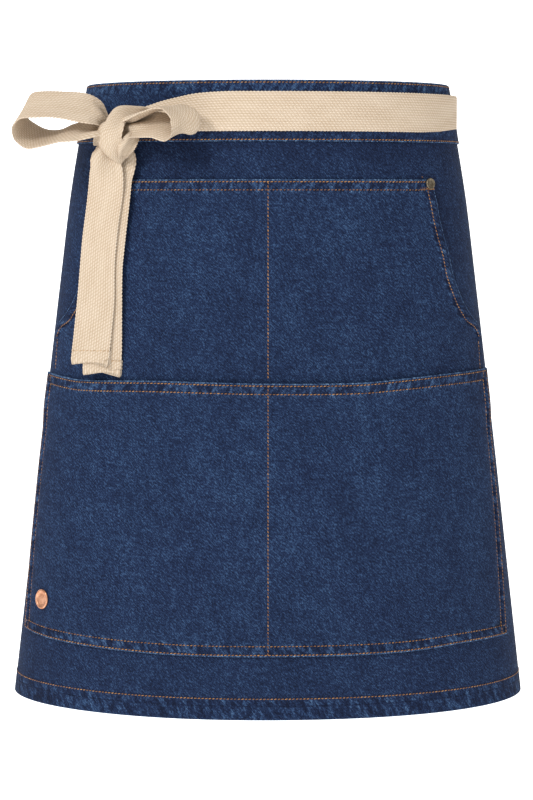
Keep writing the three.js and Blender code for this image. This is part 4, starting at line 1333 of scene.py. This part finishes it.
def turned(name, node, section, arc, drop, out, material):
    """Spins a half section of (radius, height) points and stands it on the cloth."""
    bm = bmesh.new()
    corners = [bm.verts.new((radius, 0, height)) for radius, height in section]
    edges = [bm.edges.new(pair) for pair in zip(corners, corners[1:])]
    axle = {"cent": (0, 0, 0), "axis": (0, 0, 1), "angle": 2 * math.pi}
    bmesh.ops.spin(bm, geom=corners + edges, steps=48, **axle)
    bmesh.ops.remove_doubles(bm, verts=bm.verts[:], dist=1e-6)
    tangent = form_frame(angle_at(arc, drop), drop)[1]
    down = on_form(arc, drop + 2 * MM, 0) - on_form(arc, drop - 2 * MM, 0)
    up = -(down - tangent * down.dot(tangent)).normalized()
    axis = tangent.cross(up)
    matrix = Matrix((tangent, up, axis)).transposed().to_4x4()
    matrix.translation = on_form(arc, drop, 0) + axis * out
    bmesh.ops.transform(bm, matrix=matrix, verts=bm.verts[:])
    stands_for(shade_and_link(bm, name, [material]), node)


rivet_out = UPPER_FROM + 2 * CLOTH + METAL_LIFT
rivet_section = cap_section(RIVET_RADIUS, RIVET_HEIGHT, -WASHER_BEHIND - rivet_out, 0.62)
for name, node, sign in (("RivetLeft", "rivet_left", -1), ("RivetRight", "rivet_right", 1)):
    turned(name, node, rivet_section, sign * RIVET_ARC, RIVET_DROP, rivet_out, brass)
badge_section = cap_section(BADGE_RADIUS, BADGE_HEIGHT, -WASHER_BEHIND - CLOTH, 0.6)
badge_out = LOWER_FROM + CLOTH + METAL_LIFT
turned("Badge", "badge", badge_section, BADGE_ARC, BADGE_DROP, badge_out, copper)

# %% [markdown]
# ## Studio
# The photo has a plain white ground and soft light from the upper left. A pale floor well below the
# apron and a white world give that, and the camera stands where the photo was taken, looking slightly
# down.

# %% Light, floor and camera
WORLD_LIGHT = 0.60
BACKDROP_DEPTH = 2.5
BACKDROP_BEND = 1.2
BACKDROP_GLOW = 0.85
FLOOR_LEVEL = -1.0
CAMERA_LENS = 95.4
CAMERA_PLACE = (-0.0015, -2.175, -0.081)
CAMERA_DOWN = 5.5
WHITE = (1, 1, 1, 1)

scene = bpy.context.scene
scene.world = bpy.data.worlds.new("Studio")
scene.world.use_nodes = True
background = scene.world.node_tree.nodes["Background"]
background.inputs["Color"].default_value = WHITE
background.inputs["Strength"].default_value = WORLD_LIGHT


def area_light(name, place, aim, size, power):
    data = bpy.data.lights.new(name, "AREA")
    data.size, data.energy = size, power
    light = bpy.data.objects.new(name, data)
    light.location = place
    light.rotation_euler = (Vector(aim) - Vector(place)).to_track_quat("-Z", "Y").to_euler()
    scene.collection.objects.link(light)


area_light("KeyLight", (-1.7, -1.95, 1.3), (0, 0, -0.25), 0.7, 47)
area_light("TopLight", (-0.3, -1.3, 1.7), (0, 0, -0.1), 0.9, 9)
area_light("FillLight", (1.9, -1.6, 0.2), (0, 0, -0.3), 1.4, 9)


def backdrop_point(along):
    """The section of a photographer's paper: a floor, a quarter round and a wall."""
    bend = along - BACKDROP_DEPTH
    if bend <= 0:
        return along, FLOOR_LEVEL
    angle = min(math.pi / 2, bend / BACKDROP_BEND)
    rise = BACKDROP_BEND * (1 - math.cos(angle)) + max(0.0, bend - BACKDROP_BEND * math.pi / 2)
    return BACKDROP_DEPTH + BACKDROP_BEND * math.sin(angle), FLOOR_LEVEL + rise


bm = bmesh.new()
bmesh.ops.create_grid(bm, x_segments=2, y_segments=60, size=5)
for vertex in bm.verts:
    vertex.co.y, vertex.co.z = backdrop_point(vertex.co.y + 1)
paper_mesh = bpy.data.meshes.new("Backdrop")
bm.to_mesh(paper_mesh)
bm.free()
backdrop = bpy.data.objects.new("Backdrop", paper_mesh)
scene.collection.objects.link(backdrop)
paper = Finish("white_paper")
paper.shader.inputs["Emission Color"].default_value = WHITE
paper.shader.inputs["Emission Strength"].default_value = BACKDROP_GLOW
paper_mesh.materials.append(paper.finish((0.9, 0.9, 0.9, 1), rough=0.9, specular=0.0))

camera_data = bpy.data.cameras.new("Camera")
camera_data.lens = CAMERA_LENS
camera_data.clip_end = 50
camera = bpy.data.objects.new("Camera", camera_data)
camera.location = CAMERA_PLACE
camera.rotation_euler = (math.radians(90 - CAMERA_DOWN), 0, 0)
scene.collection.objects.link(camera)
scene.camera = camera
scene.view_settings.view_transform = "Standard"

# %% [markdown]
# ## The panel's flat size
# The panel's width at the hem and its area are worked out from the form.

panel_width = 2 * back_arc(LENGTH)
panel_area = sum(2 * back_arc(drop) for drop in panel_drops) / len(panel_drops) * LENGTH
